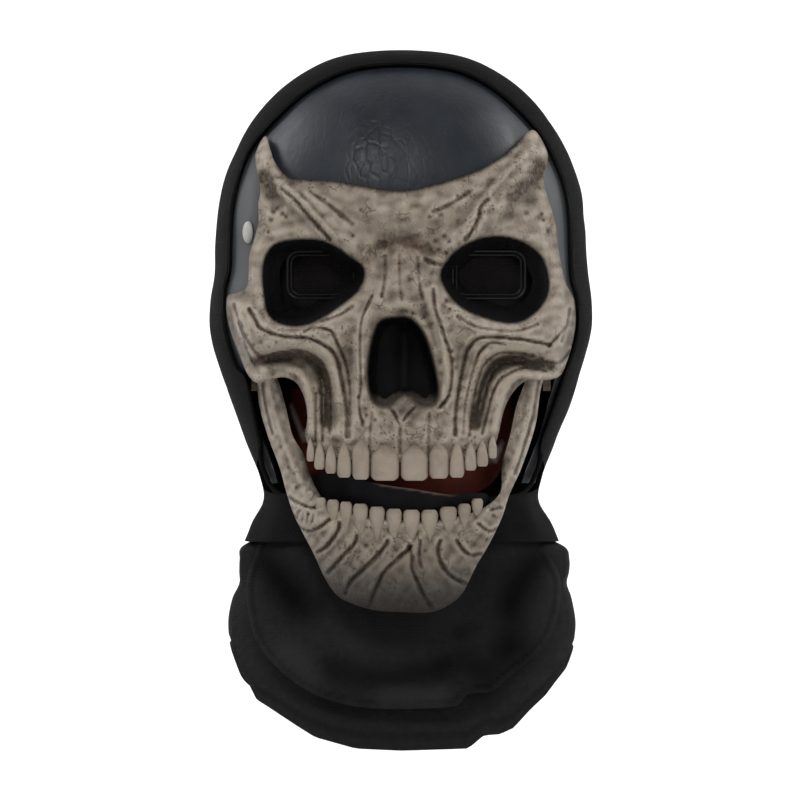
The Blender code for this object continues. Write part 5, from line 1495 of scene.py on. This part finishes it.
def build_jaw(settings):
    """Bone jaw: carved front, its two arms up to the hinge, and the lower teeth."""
    flat = flat_mesh(JAW_EDGE, [], [], settings.fineness * 1000, JAW_TURN)
    x, z, _ = flat

    def carved(px, pz):
        return settings.carving * jaw_carving(px, pz)

    edge_calm = ease(depth_inside(x, z, rounded(JAW_EDGE, LOOP_FINE)) / 2.5)
    lifted = carved(x, z) * (0.2 + 0.8 * edge_calm)
    plain = jaw_front(x, z)
    rim_round = 1.4 * (1.0 - edge_calm) ** 2
    marks = bone_marks(x, z, carved, lifted)
    points = np.column_stack([x, z])
    corner, right = distance_to(points, LEFT_DARK_EDGE), distance_to(points, RIGHT_DARK_EDGE)
    black = 0.95 * np.exp(-(corner / 6.5) ** 2) + 0.9 * np.exp(-(right / 4.5) ** 2)
    # A painted highlight: a light patch on the left corner of the jaw.
    marks["worn"] = np.clip(marks["worn"] + 0.7 * spot(x, z, -46.0, -224.0, 8.0, 12.0), 0.0, 1.0)
    marks["black"] = np.clip(black, 0.0, 1.0)
    marks["red"] = 0.6 * spot(x, z, 10.0, -249.0, 4.0, 6.0)
    marks["shade"] = 0.96 * ease((-231.0 - z) / 42.0) ** 0.8
    thick = JAW_WALL * np.minimum(steepness(jaw_front, x, z), 3.4)
    verts, faces = wall(flat, plain - lifted + rim_round, plain + thick)
    marks = both_sides(marks, {"black": 0.4, "shade": 0.5})
    turns = np.linspace(-0.1 * math.pi, 0.9 * math.pi, 21)
    eye = [(HINGE_Y + ARM_EYE * math.cos(t), HINGE_Z + ARM_EYE * math.sin(t)) for t in turns]
    arm = [(-47.0, -165.0), (-34.0, -165.0), *eye]
    arms = [block_along_x(arm, side * ARM_INNER, side * ARM_OUTER) for side in (-1, 1)]
    verts, faces = join([(verts, faces), *arms])
    spare = len(verts) - len(marks["black"])
    marks = {name: np.concatenate([values, np.full(spare, 0.5 if name == "shade" else 0.0)])
             for name, values in marks.items()}
    jaw = add_piece("bone_jaw", verts, faces, MATERIALS["bone"], marks)
    teeth = add_teeth("lower_teeth", [
        tooth(left, right, root, tip, lower_gum, LOWER_TOOTH_DEPTH, "lower tooth")
        for left, right, tip, root in LOWER_TEETH])
    for piece in (jaw, teeth):
        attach(piece, JAW_BODY)
        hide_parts("jaw")
    return jaw, teeth


MOUTH_OUTLINE = (
    (-58, -168), (-50, -164), (-30, -168), (-24, -179), (24, -179), (30, -168), (50, -164),
    (58, -168), (54, -192), (44, -212), (20, -219), (-20, -219), (-44, -212), (-54, -192),
)
JAW_LINING_OUTLINE = (
    (-42, -208), (-34, -205.5), (-12, -211), (8, -214), (24, -216.5), (42, -216), (43, -224),
    (30, -234), (0, -240), (-27, -234), (-41, -224),
)
LEFT_SLIVER = (
    (-55.0, -172.0), (-53.5, -178.0), (-50.5, -185.5), (-46.5, -192.0), (-46.0, -187.0),
    (-49.0, -184.0), (-52.5, -178.0),
)
RIGHT_SLIVER = ((44.5, -200.0), (46.5, -193.0), (50.5, -190.0), (48.0, -199.0))
NOSE_OUTLINE = (
    (-15, -132), (1, -126), (16, -132), (20, -150), (22, -168), (14, -177), (-12, -177),
    (-20, -168), (-19, -150),
)
NOSE_FINE = 1.6


def build_linings():
    """Red-brown lining behind the upper teeth and black lining behind the lower ones."""
    flat = flat_mesh(MOUTH_OUTLINE, [], [], LINING_FINE, MOUTH_TURN)
    x, z, _ = flat
    y = mouth_front(x, z)
    slivers = np.maximum(within_polygon(x, z, LEFT_SLIVER), within_polygon(x, z, RIGHT_SLIVER))
    dark = np.maximum(ease((-53.0 - x) / 4.0), ease((x - 53.0) / 4.0)) * 0.85
    dark = np.maximum(dark, ease((-10.0 - x) / 10.0) * ease((-203.0 - z) / 5.0))
    marks = both_sides({"pale": slivers, "dark": dark * (1.0 - slivers)}, {})
    verts, faces = wall(flat, y, y + LINING_WALL * np.minimum(steepness(mouth_front, x, z), 2.2))
    mouth_piece = add_piece("mouth_backing", verts, faces, MATERIALS["mouth"], marks)
    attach(mouth_piece, HEAD_BODY)
    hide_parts("mouth_lining")

    flat = flat_mesh(JAW_LINING_OUTLINE, [], [], RIM_FINE, LINING_TURN)
    x, z, _ = flat
    slope = steepness(jaw_front, x, z)
    side_teeth = 2.4 * np.exp(-((np.abs(x) - 30.0) / 9.0) ** 2)
    y = jaw_front(x, z) + JAW_WALL * np.minimum(slope, 3.4)
    y = y + LINING_SEAT * 1.4 * np.minimum(slope, 2.0) + side_teeth
    rim = 1.0 - ease(depth_inside(x, z, rounded(JAW_LINING_OUTLINE, LOOP_FINE)) / 1.1)
    rim *= ease((z + 219.0) / 3.0) * ease((x + 16.0) / 8.0) * ease((30.0 - x) / 10.0)
    verts, faces = wall(flat, y, y + LINING_WALL * np.minimum(slope, 2.0))
    lining = add_piece("jaw_backing", verts, faces, MATERIALS["lining"], both_sides({"rim": rim}, {}))
    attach(lining, JAW_BODY)
    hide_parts("jaw_lining")
    return mouth_piece, lining


def build_nose():
    """Dark mesh behind the nose opening, with a low ridge down its middle."""
    flat = flat_mesh(rounded(NOSE_OUTLINE, 4.0), [], [], NOSE_FINE, FACE_TURN)
    x, z, _ = flat
    seat = NOSE_FLOOR + BONE_WALL + 1.4
    ridge = 2.0 * np.exp(-((x - FACE_CENTRE) / 3.0) ** 2) * ease((18.0 - np.abs(z + 150.0)) / 4.0)
    verts, faces = wall(flat, seat - ridge, np.full(len(x), seat + 2.0))
    nose = add_piece("nose_backing", verts, faces, MATERIALS["dark"])
    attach(nose, HEAD_BODY)
    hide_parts("nose_mesh")
    return nose


# The low and high corner of each eye's rim; its bars as (how far drawn in, radius).
LENS_FRAMES = {"left": ((-56.5, -119.0), (-21.5, -95.5)), "right": ((25.5, -119.0), (61.5, -95.5))}
LENS_CORNER = 6.0
LENS_BARS = ((0.0, 0.75), (1.9, 0.5))
NET_INSET = 2.6


def drawn_in(low, high, inset):
    """The corners of a box drawn in on every side."""
    return (low[0] + inset, low[1] + inset), (high[0] - inset, high[1] - inset)


def rounded_box(low, high, radius, steps=8):
    """Outline of a box with round corners."""
    found = []
    corners = ((high[0], high[1], 0), (low[0], high[1], 1), (low[0], low[1], 2), (high[0], low[1], 3))
    for x, z, quarter in corners:
        cx = x - radius if quarter in (0, 3) else x + radius
        cz = z - radius if quarter in (0, 1) else z + radius
        for step in range(steps + 1):
            angle = (quarter + step / steps) * math.pi / 2
            found.append((cx + radius * math.cos(angle), cz + radius * math.sin(angle)))
    return rounded(np.array(found), 2.0)


def net_edges(low, high, pitch):
    """Points and edges of a six-sided net that fills a box."""
    points, index, edges = [], {}, set()
    step_x, step_z = pitch * math.sqrt(3.0) / 2.0, pitch * 0.75
    half = pitch / 2.0

    def corner(px, pz):
        key = (round(px, 2), round(pz, 2))
        if key not in index:
            index[key] = len(points)
            points.append((px, pz))
        return index[key]

    rows = int((high[1] - low[1]) / step_z) + 1
    columns = int((high[0] - low[0]) / step_x) + 1
    for row in range(rows):
        for column in range(columns):
            cx = low[0] + (column + (row % 2) / 2.0) * step_x
            cz = low[1] + row * step_z
            turns = [k * math.pi / 3 for k in range(6)]
            corners = [corner(cx + half * math.sin(turn), cz + half * math.cos(turn)) for turn in turns]
            for start, end in zip(corners, corners[1:] + corners[:1]):
                edges.add(tuple(sorted((start, end))))
    points = np.array(points)
    ok = ((points > np.array(low)) & (points < np.array(high))).all(axis=1)
    edges = [edge for edge in sorted(edges) if ok[edge[0]] and ok[edge[1]]]
    return points, edges


def build_lenses(settings):
    """Dark panels behind the eye sockets, each with a glossy double rim round a fine net."""
    made = []
    for (name, (low, high)), loop in zip(LENS_FRAMES.items(), socket_loops()):
        outline = loop_inset(loop, SOCKET_WALL - 2.0, 4.0)
        flat = flat_mesh(outline, [], [], LINING_FINE, FACE_TURN)
        x, z, _ = flat
        y = socket_floor(x) + BONE_WALL * 2.0 + 1.2
        panel = wall(flat, y, y + 1.6)
        rims = []
        for inset, radius in LENS_BARS:
            edge = rounded_box(*drawn_in(low, high, inset), LENS_CORNER - inset)
            path = np.column_stack([edge[:, 0], socket_floor(edge[:, 0]) - 0.2, edge[:, 1]])
            rims.append(tube(path, radius, 8))
        panel_piece = add_piece(f"eye_panel_{name}", *panel, MATERIALS["dark"])
        rim_piece = add_piece(f"eye_rim_{name}", *join(rims), MATERIALS["rim"])
        points, edges = net_edges(*drawn_in(low, high, NET_INSET), settings.net_pitch * 1000)
        mesh = bpy.data.meshes.new(f"eye_net_{name}")
        depth = socket_floor(points[:, 0]) + BONE_WALL + 1.6
        mesh.from_pydata((np.column_stack([points[:, 0], depth, points[:, 1]]) * MM).tolist(), edges, [])
        net = bpy.data.objects.new(f"eye_net_{name}", mesh)
        bpy.context.collection.objects.link(net)
        run_nodes(net, bpy.data.node_groups["Net wires"],
                  {"Wire radius": settings.wire_radius, "Material": MATERIALS["net"]})
        for piece in (panel_piece, rim_piece, net):
            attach(piece, HEAD_BODY)
            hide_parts(f"eye_mesh_{name}")
        made += [panel_piece, rim_piece, net]
    return made


STUD_X, STUD_Z, STUD_HALF_WIDE, STUD_HALF_HIGH, STUD_PROUD = -75.5, -86.0, 3.6, 5.6, 2.4


def build_stud():
    """Cream domed stud on the left temple."""
    step = 0.5
    y = cap_front(np.array([STUD_X, STUD_X + step, STUD_X]), np.array([STUD_Z, STUD_Z, STUD_Z + step]))
    along = np.array((1.0, (y[1] - y[0]) / step, 0.0))
    up = np.array((0.0, (y[2] - y[0]) / step, 1.0))
    along, up = along / np.linalg.norm(along), up / np.linalg.norm(up)
    normal = np.cross(along, up)
    normal /= np.linalg.norm(normal)
    base = np.array((STUD_X, y[0], STUD_Z)) + normal * 0.4
    sides, levels = 32, 9
    verts = []
    for level in range(levels):
        lift = math.sin(level / (levels - 1) * math.pi / 2)
        wide = math.cos(level / (levels - 1) * math.pi / 2 * 0.97) ** 0.6
        for k in range(sides):
            turn = k * 2 * math.pi / sides
            verts.append(base + along * STUD_HALF_WIDE * wide * math.cos(turn)
                         + up * STUD_HALF_HIGH * wide * math.sin(turn) + normal * STUD_PROUD * lift)
    faces = [tuple(range(sides))[::-1], tuple(range((levels - 1) * sides, levels * sides))]
    for level in range(levels - 1):
        for k in range(sides):
            a, b = level * sides + k, level * sides + (k + 1) % sides
            faces.append((a, b, b + sides, a + sides))
    stud = add_piece("cream_stud", verts, faces, MATERIALS["stud"])
    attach(stud, HEAD_BODY)
    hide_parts("temple_stud")
    return stud


def build_pivots():
    """Steel pins on the jaw's hinge line, as the CAD model has them."""
    for name in ("jaw_pivot_left", "jaw_pivot_right"):
        pin = frame["nodes"][name]
        pin.data.materials.clear()
        pin.data.materials.append(MATERIALS["steel"])


def cloth_wrinkles(x, z):
    """Height of the neck cloth's soft wrinkles."""
    return forms(x, z, CLOTH_WRINKLES) + 0.5 * lumps(x, z, 34.0, 12)


def build_bib(settings):
    """Front layer of the neck cloth, with its turned hem."""
    flat = flat_mesh(BIB_EDGE, [], [], CLOTH_FINE, NECK_TURN)
    x, z, _ = flat
    below_hood = ease((-240.0 - z) / 10.0)
    plain = front_of(BIB, x, z) - forms(x, z, CLOTH_FOLDS) * ease((-238.0 - z) / 12.0)
    y = plain - settings.wrinkle * cloth_wrinkles(x, z) * below_hood
    from_edge = depth_inside(x, z, rounded(BIB_EDGE, 4.0))
    y = y - 0.7 * np.exp(-((from_edge - 1.2) / 1.1) ** 2) * below_hood
    thick = CLOTH * np.minimum(steepness(lambda px, pz: front_of(BIB, px, pz), x, z), 1.8)
    # Painted light and shade on the folds, with a line of painted shade just inside the turned hem.
    tone = tones(x, z, CLOTH_TONES) - 0.5 * np.exp(-((from_edge - 3.0) / 0.8) ** 2)
    verts, faces = wall(flat, y, y + thick)
    bib = add_piece("neck_bib_cloth", verts, faces, MATERIALS["neck"], both_sides({"tone": tone}, {}))
    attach(bib, HEAD_BODY)
    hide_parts("neck_bib")
    return bib


def hem_height(angle):
    """Height of the cape's hem at an angle from the front."""
    x = 86.0 * np.sin(angle)
    hem = np.array(CAPE_HEM, float)
    front = np.interp(x, hem[:, 0], hem[:, 1])
    back = -291.0 - CAPE_BACK_DROP * np.abs(np.cos(angle)) ** 0.8
    return np.where(np.cos(angle) > 0, front, back)


# How far the cape's upper roll hangs over to the right.
CAPE_LEAN = 1.4


def build_cape(settings):
    """Lower layer of the neck cloth: a tube that widens below the neck and dips in front."""
    angle = np.arange(CAPE_AROUND) * 2 * math.pi / CAPE_AROUND
    hem = hem_height(angle)
    outer, inner, tone = [], [], []
    for share in np.linspace(0.0, 1.0, CAPE_DOWN):
        z = CAPE_TOP + share * (hem - CAPE_TOP)
        for stack, inset in ((outer, 0.0), (inner, CLOTH)):
            points = ring(CAPE, z, inset, CAPE_AROUND)
            points[:, 2] = z
            out = points[:, :2] - np.array((0.0, 10.0))
            out /= np.linalg.norm(out, axis=1)[:, None]
            drape = ease(share / 0.35) * (1.0 - 0.3 * share)
            height = 1.3 * np.sin(angle * 9.0 + 1.3 + 0.9 * np.sin(angle * 2.0)) * drape
            height += 0.9 * lumps(angle * 60.0, z, 46.0, 21) * drape
            height = height * settings.wrinkle - 1.2 * np.exp(-((share - 0.97) / 0.02) ** 2)
            points[:, :2] += out * np.where(np.cos(angle) > 0.3, 0.45, 1.0)[:, None] * height[:, None]
            points[:, 0] += CAPE_LEAN * np.exp(-((z + 252.0) / 14.0) ** 2)
            stack.append(points)
        # Painted light and shade on the folds, with a line of painted shade just above the hem.
        hem_line = 0.5 * math.exp(-((share - 0.94) / 0.012) ** 2)
        tone.append(tones(outer[-1][:, 0], outer[-1][:, 2], CLOTH_TONES) * 0.6 - hem_line)
    verts, faces = shell(outer, inner)
    tone = np.concatenate([*tone, *tone])
    cape = add_piece("neck_cape_cloth", verts, faces, MATERIALS["neck"], {"tone": tone})
    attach(cape, HEAD_BODY)
    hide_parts("neck_cape")
    return cape


class BoneSettings(bpy.types.PropertyGroup):
    """What a user would change on the bone face and the jaw."""

    bone_colour: bpy.props.FloatVectorProperty(
        name="Bone colour", description="Base colour of the bone paint", subtype="COLOR", size=3,
        default=SLOT_COLOUR["bone"], min=0.0, max=1.0)
    stain: bpy.props.FloatProperty(
        name="Stain and painted shade", description="Strength of the brown stain in the grooves",
        default=0.95, min=0.0, max=1.5, subtype="FACTOR")
    carving: bpy.props.FloatProperty(
        name="Carving", description="Depth of the fine lines, as a share of the modelled depth",
        default=1.3, min=0.0, max=1.5, subtype="FACTOR")
    fineness: bpy.props.FloatProperty(
        name="Fineness", description="Spacing of the surface's points",
        default=FACE_FINE * MM, min=0.0008, max=0.006, subtype="DISTANCE", unit="LENGTH")


class ClothSettings(bpy.types.PropertyGroup):
    """What a user would change on the hood and the neck cloths."""

    hood_colour: bpy.props.FloatVectorProperty(
        name="Hood colour", description="Colour of the hood's knit", subtype="COLOR", size=3,
        default=SLOT_COLOUR["hood_cloth"], min=0.0, max=1.0)
    neck_colour: bpy.props.FloatVectorProperty(
        name="Neck cloth colour", description="Colour of the neck cloths", subtype="COLOR", size=3,
        default=SLOT_COLOUR["neck_cloth"], min=0.0, max=1.0)
    fold_depth: bpy.props.FloatProperty(
        name="Hood folds", description="Depth of the hood's soft folds", default=0.0009, min=0.0, max=0.004,
        subtype="DISTANCE", unit="LENGTH")
    wrinkle: bpy.props.FloatProperty(
        name="Neck wrinkles", description="Strength of the neck cloths' wrinkles",
        default=1.0, min=0.0, max=2.0, subtype="FACTOR")


class ShellSettings(bpy.types.PropertyGroup):
    """What a user would change on the moulded cap."""

    shell_colour: bpy.props.FloatVectorProperty(
        name="Shell colour", description="Colour of the moulded cap", subtype="COLOR", size=3,
        default=SLOT_COLOUR["dark_shell"], min=0.0, max=1.0)
    gloss_roughness: bpy.props.FloatProperty(
        name="Roughness", description="Roughness of the cap's satin gloss", default=0.4, min=0.05, max=1.0,
        subtype="FACTOR")


class LensSettings(bpy.types.PropertyGroup):
    """What a user would change on the eye panels."""

    net_pitch: bpy.props.FloatProperty(
        name="Net pitch", description="Width of one opening of the net", default=0.0016, min=0.001, max=0.006,
        subtype="DISTANCE", unit="LENGTH")
    wire_radius: bpy.props.FloatProperty(
        name="Wire radius", description="Radius of the net's wires", default=0.00022, min=0.00005, max=0.001,
        subtype="DISTANCE", unit="LENGTH")


class StageSettings(bpy.types.PropertyGroup):
    """What a user would change on the floor and the light."""

    floor_colour: bpy.props.FloatVectorProperty(
        name="Floor colour", description="Colour of the plain floor", subtype="COLOR", size=3,
        default=(0.86, 0.86, 0.86), min=0.0, max=1.0)
    light_power: bpy.props.FloatProperty(
        name="Light", description="Power of the main soft light",
        default=19.0, min=0.0, max=500.0, unit="POWER")


def need_materials():
    """Stops a builder that is run before the materials are made."""
    if not MATERIALS:
        raise RuntimeError("make the materials before the pieces")


class MASK_OT_materials(bpy.types.Operator):
    """Make the materials and the node groups they share"""

    bl_options = {"REGISTER", "UNDO"}
    bl_idname = "mask.materials"
    bl_label = "Materials"

    def execute(self, context):
        scene = context.scene
        pore_group()
        knit_group()
        wire_group()
        cloth = scene.mask_cloth
        MATERIALS["bone"] = bone_material("painted bone", scene.mask_bone)
        MATERIALS["tooth"] = bone_material("painted teeth", scene.mask_bone, pitted=0.2)
        MATERIALS["hood"] = knit_material("black hood knit", tuple(cloth.hood_colour), 1500.0, tones=True)
        MATERIALS["neck"] = knit_material("black neck knit", tuple(cloth.neck_colour), 1300.0, tones=True)
        MATERIALS["shell"] = shell_material(scene.mask_shell)
        MATERIALS["mouth"] = mouth_material()
        MATERIALS["lining"] = lining_material()
        MATERIALS["dark"] = plain_material(
            "dark panel", seen(9, 9, 11), 0.6, second=seen(15, 15, 17), specular=0.15)
        MATERIALS["net"] = plain_material(
            "dark net", seen(20, 17, 18), 0.6, second=seen(36, 26, 26), scale=60.0, specular=0.15)
        MATERIALS["rim"] = plain_material("glossy dark rim", seen(13, 13, 15), 0.34, specular=0.22)
        MATERIALS["stud"] = plain_material(
            "cream stud paint", SLOT_COLOUR["stud"], 0.4, second=seen(186, 184, 178))
        MATERIALS["steel"] = plain_material("pin steel", SLOT_COLOUR["pivot_pin"], 0.35, 1.0)
        return {"FINISHED"}


class MASK_OT_hood(bpy.types.Operator):
    """Build the cloth hood and its turned hem"""

    bl_options = {"REGISTER", "UNDO"}
    bl_idname = "mask.hood"
    bl_label = "Hood"

    def execute(self, context):
        need_materials()
        hood, hem = build_hood(context.scene.mask_cloth)
        return {"FINISHED"}


class MASK_OT_cap(bpy.types.Operator):
    """Build the dark moulded cap"""

    bl_options = {"REGISTER", "UNDO"}
    bl_idname = "mask.cap"
    bl_label = "Cap"

    def execute(self, context):
        need_materials()
        build_cap()
        return {"FINISHED"}


class MASK_OT_face(bpy.types.Operator):
    """Build the carved bone face and the upper teeth"""

    bl_options = {"REGISTER", "UNDO"}
    bl_idname = "mask.face"
    bl_label = "Bone face"

    def execute(self, context):
        need_materials()
        build_face(context.scene.mask_bone)
        return {"FINISHED"}


class MASK_OT_jaw(bpy.types.Operator):
    """Build the carved bone jaw and the lower teeth"""

    bl_options = {"REGISTER", "UNDO"}
    bl_idname = "mask.jaw"
    bl_label = "Jaw"

    def execute(self, context):
        need_materials()
        build_jaw(context.scene.mask_bone)
        return {"FINISHED"}


class MASK_OT_linings(bpy.types.Operator):
    """Build the linings behind the teeth and the mesh behind the nose"""

    bl_options = {"REGISTER", "UNDO"}
    bl_idname = "mask.linings"
    bl_label = "Linings"

    def execute(self, context):
        need_materials()
        build_linings()
        build_nose()
        return {"FINISHED"}


class MASK_OT_lenses(bpy.types.Operator):
    """Build the eye panels with their rims and nets"""

    bl_options = {"REGISTER", "UNDO"}
    bl_idname = "mask.lenses"
    bl_label = "Eye panels"

    def execute(self, context):
        need_materials()
        build_lenses(context.scene.mask_lens)
        return {"FINISHED"}


class MASK_OT_hardware(bpy.types.Operator):
    """Build the temple stud and paint the jaw's pins"""

    bl_options = {"REGISTER", "UNDO"}
    bl_idname = "mask.hardware"
    bl_label = "Stud and pins"

    def execute(self, context):
        need_materials()
        build_stud()
        build_pivots()
        return {"FINISHED"}


class MASK_OT_neck(bpy.types.Operator):
    """Build the two layers of the neck cloth"""

    bl_options = {"REGISTER", "UNDO"}
    bl_idname = "mask.neck"
    bl_label = "Neck cloths"

    def execute(self, context):
        need_materials()
        bib = build_bib(context.scene.mask_cloth)
        cape = build_cape(context.scene.mask_cloth)
        return {"FINISHED"}


class MASK_OT_stage(bpy.types.Operator):
    """Make the floor, the soft lights and the camera"""

    bl_options = {"REGISTER", "UNDO"}
    bl_idname = "mask.stage"
    bl_label = "Stage"

    def execute(self, context):
        make_floor(context.scene.mask_stage)
        make_lights(context.scene.mask_stage)
        make_camera()
        return {"FINISHED"}


FLOOR_DROP = 0.095
SWEEP_START, SWEEP_RADIUS, BACKDROP_HEIGHT = 0.9, 0.4, 4.0


def make_floor(settings):
    """A plain pale floor that sweeps up behind the mask."""
    level = CAD_BOX[0][2] - FLOOR_DROP
    profile = [(-3.0, 0.0), (SWEEP_START, 0.0)]
    profile += [(SWEEP_START + SWEEP_RADIUS * math.sin(t), SWEEP_RADIUS * (1 - math.cos(t)))
                for t in np.linspace(0.15, math.pi / 2, 12)]
    profile.append((SWEEP_START + SWEEP_RADIUS, BACKDROP_HEIGHT))
    verts = [(x, y, level + z) for y, z in profile for x in (-4.0, 4.0)]
    faces = [(2 * k, 2 * k + 1, 2 * k + 3, 2 * k + 2) for k in range(len(profile) - 1)]
    mesh = bpy.data.meshes.new("floor")
    mesh.from_pydata(verts, [], faces)
    mesh.shade_smooth()
    material, tree, shader = new_material("pale floor", 0.8)
    cloud = noise_of(tree, place_of(tree), 2.0)
    colour = tuple(settings.floor_colour)
    base = mixed(tree, cloud, colour, tuple(c * 0.98 for c in colour))
    tree.links.new(base, shader.inputs["Base Color"])
    mesh.materials.append(material)
    floor = bpy.data.objects.new("floor", mesh)
    bpy.context.collection.objects.link(floor)


LIGHTS = (
    # name, x, y, z, width, share of the power, y and z of the place it is aimed at
    ("main light", -0.3, -1.4, 1.3, 0.8, 1.0, 0.0, -0.14),
    ("fill light", 1.2, -1.6, 0.1, 1.2, 0.35, 0.0, -0.14),
    ("left backdrop light", -0.9, 0.35, 0.5, 0.8, 0.65, 1.4, -0.15),
    ("right backdrop light", 0.9, 0.35, 0.5, 0.8, 0.65, 1.4, -0.15),
)
SKY_STRENGTH = 0.22


def make_lights(settings):
    """A large soft light above the front, a weak one at the right, two on the backdrop, and a pale sky."""
    for name, x, y, z, width, share, aim_y, aim_z in LIGHTS:
        data = bpy.data.lights.new(name, "AREA")
        data.shape, data.size, data.energy = "DISK", width, settings.light_power * share
        light = bpy.data.objects.new(name, data)
        light.location = (x, y, z)
        aim = Vector((0.0, aim_y, aim_z))
        light.rotation_euler = (aim - light.location).to_track_quat("-Z", "Y").to_euler()
        bpy.context.collection.objects.link(light)
    world = bpy.context.scene.world or bpy.data.worlds.new("studio")
    bpy.context.scene.world = world
    world.use_nodes = True
    sky = world.node_tree.nodes["Background"]
    sky.inputs["Color"].default_value = (0.95, 0.97, 1.0, 1.0)
    sky.inputs["Strength"].default_value = SKY_STRENGTH


# The picture shows 400 mm across its 800 pixels; its middle lies at this x and z.
PICTURE_WIDTH, PICTURE_X, PICTURE_Z = 0.4, -0.0005, -0.1695
CAMERA_AWAY = 15.0
SENSOR = 36.0


def make_camera():
    """A level camera far in front, with the picture's frame."""
    data = bpy.data.cameras.new("camera")
    data.sensor_width = SENSOR
    data.lens = SENSOR * CAMERA_AWAY / PICTURE_WIDTH
    data.clip_start, data.clip_end = 0.5, 100.0
    camera = bpy.data.objects.new("camera", data)
    camera.location = (PICTURE_X, -CAMERA_AWAY, PICTURE_Z)
    camera.rotation_euler = (math.pi / 2, 0.0, 0.0)
    bpy.context.collection.objects.link(camera)
    bpy.context.scene.camera = camera
    bpy.context.scene.view_settings.view_transform = "Standard"


SETTINGS = {"mask_bone": BoneSettings, "mask_cloth": ClothSettings, "mask_shell": ShellSettings,
            "mask_lens": LensSettings, "mask_stage": StageSettings}
BUILDERS = (MASK_OT_materials, MASK_OT_cap, MASK_OT_hood, MASK_OT_face, MASK_OT_jaw, MASK_OT_linings,
            MASK_OT_lenses, MASK_OT_hardware, MASK_OT_neck, MASK_OT_stage)


class MASK_PT_panel(bpy.types.Panel):
    """Settings and builders of the skull mask"""

    bl_idname = "MASK_PT_panel"
    bl_label = "Skull mask"
    bl_space_type = "VIEW_3D"
    bl_region_type = "UI"
    bl_category = "Skull mask"

    def draw(self, context):
        for name, group in SETTINGS.items():
            box = self.layout.box()
            for setting in group.__annotations__:
                box.prop(getattr(context.scene, name), setting)
        for builder in BUILDERS:
            self.layout.operator(builder.bl_idname)


def register():
    """Registers the settings, the builders and the panel."""
    for name, group in SETTINGS.items():
        bpy.utils.register_class(group)
        setattr(bpy.types.Scene, name, bpy.props.PointerProperty(type=group))
    for item in (*BUILDERS, MASK_PT_panel):
        bpy.utils.register_class(item)


def unregister():
    """Takes the panel, the builders and the settings away again."""
    for item in (MASK_PT_panel, *reversed(BUILDERS)):
        bpy.utils.unregister_class(item)
    for name, group in reversed(SETTINGS.items()):
        delattr(bpy.types.Scene, name)
        bpy.utils.unregister_class(group)


def main():
    """Builds every piece in order."""
    register()
    for builder in BUILDERS:
        area, label = builder.bl_idname.split(".")
        getattr(getattr(bpy.ops, area), label)()


if __name__ == "__main__":
    main()
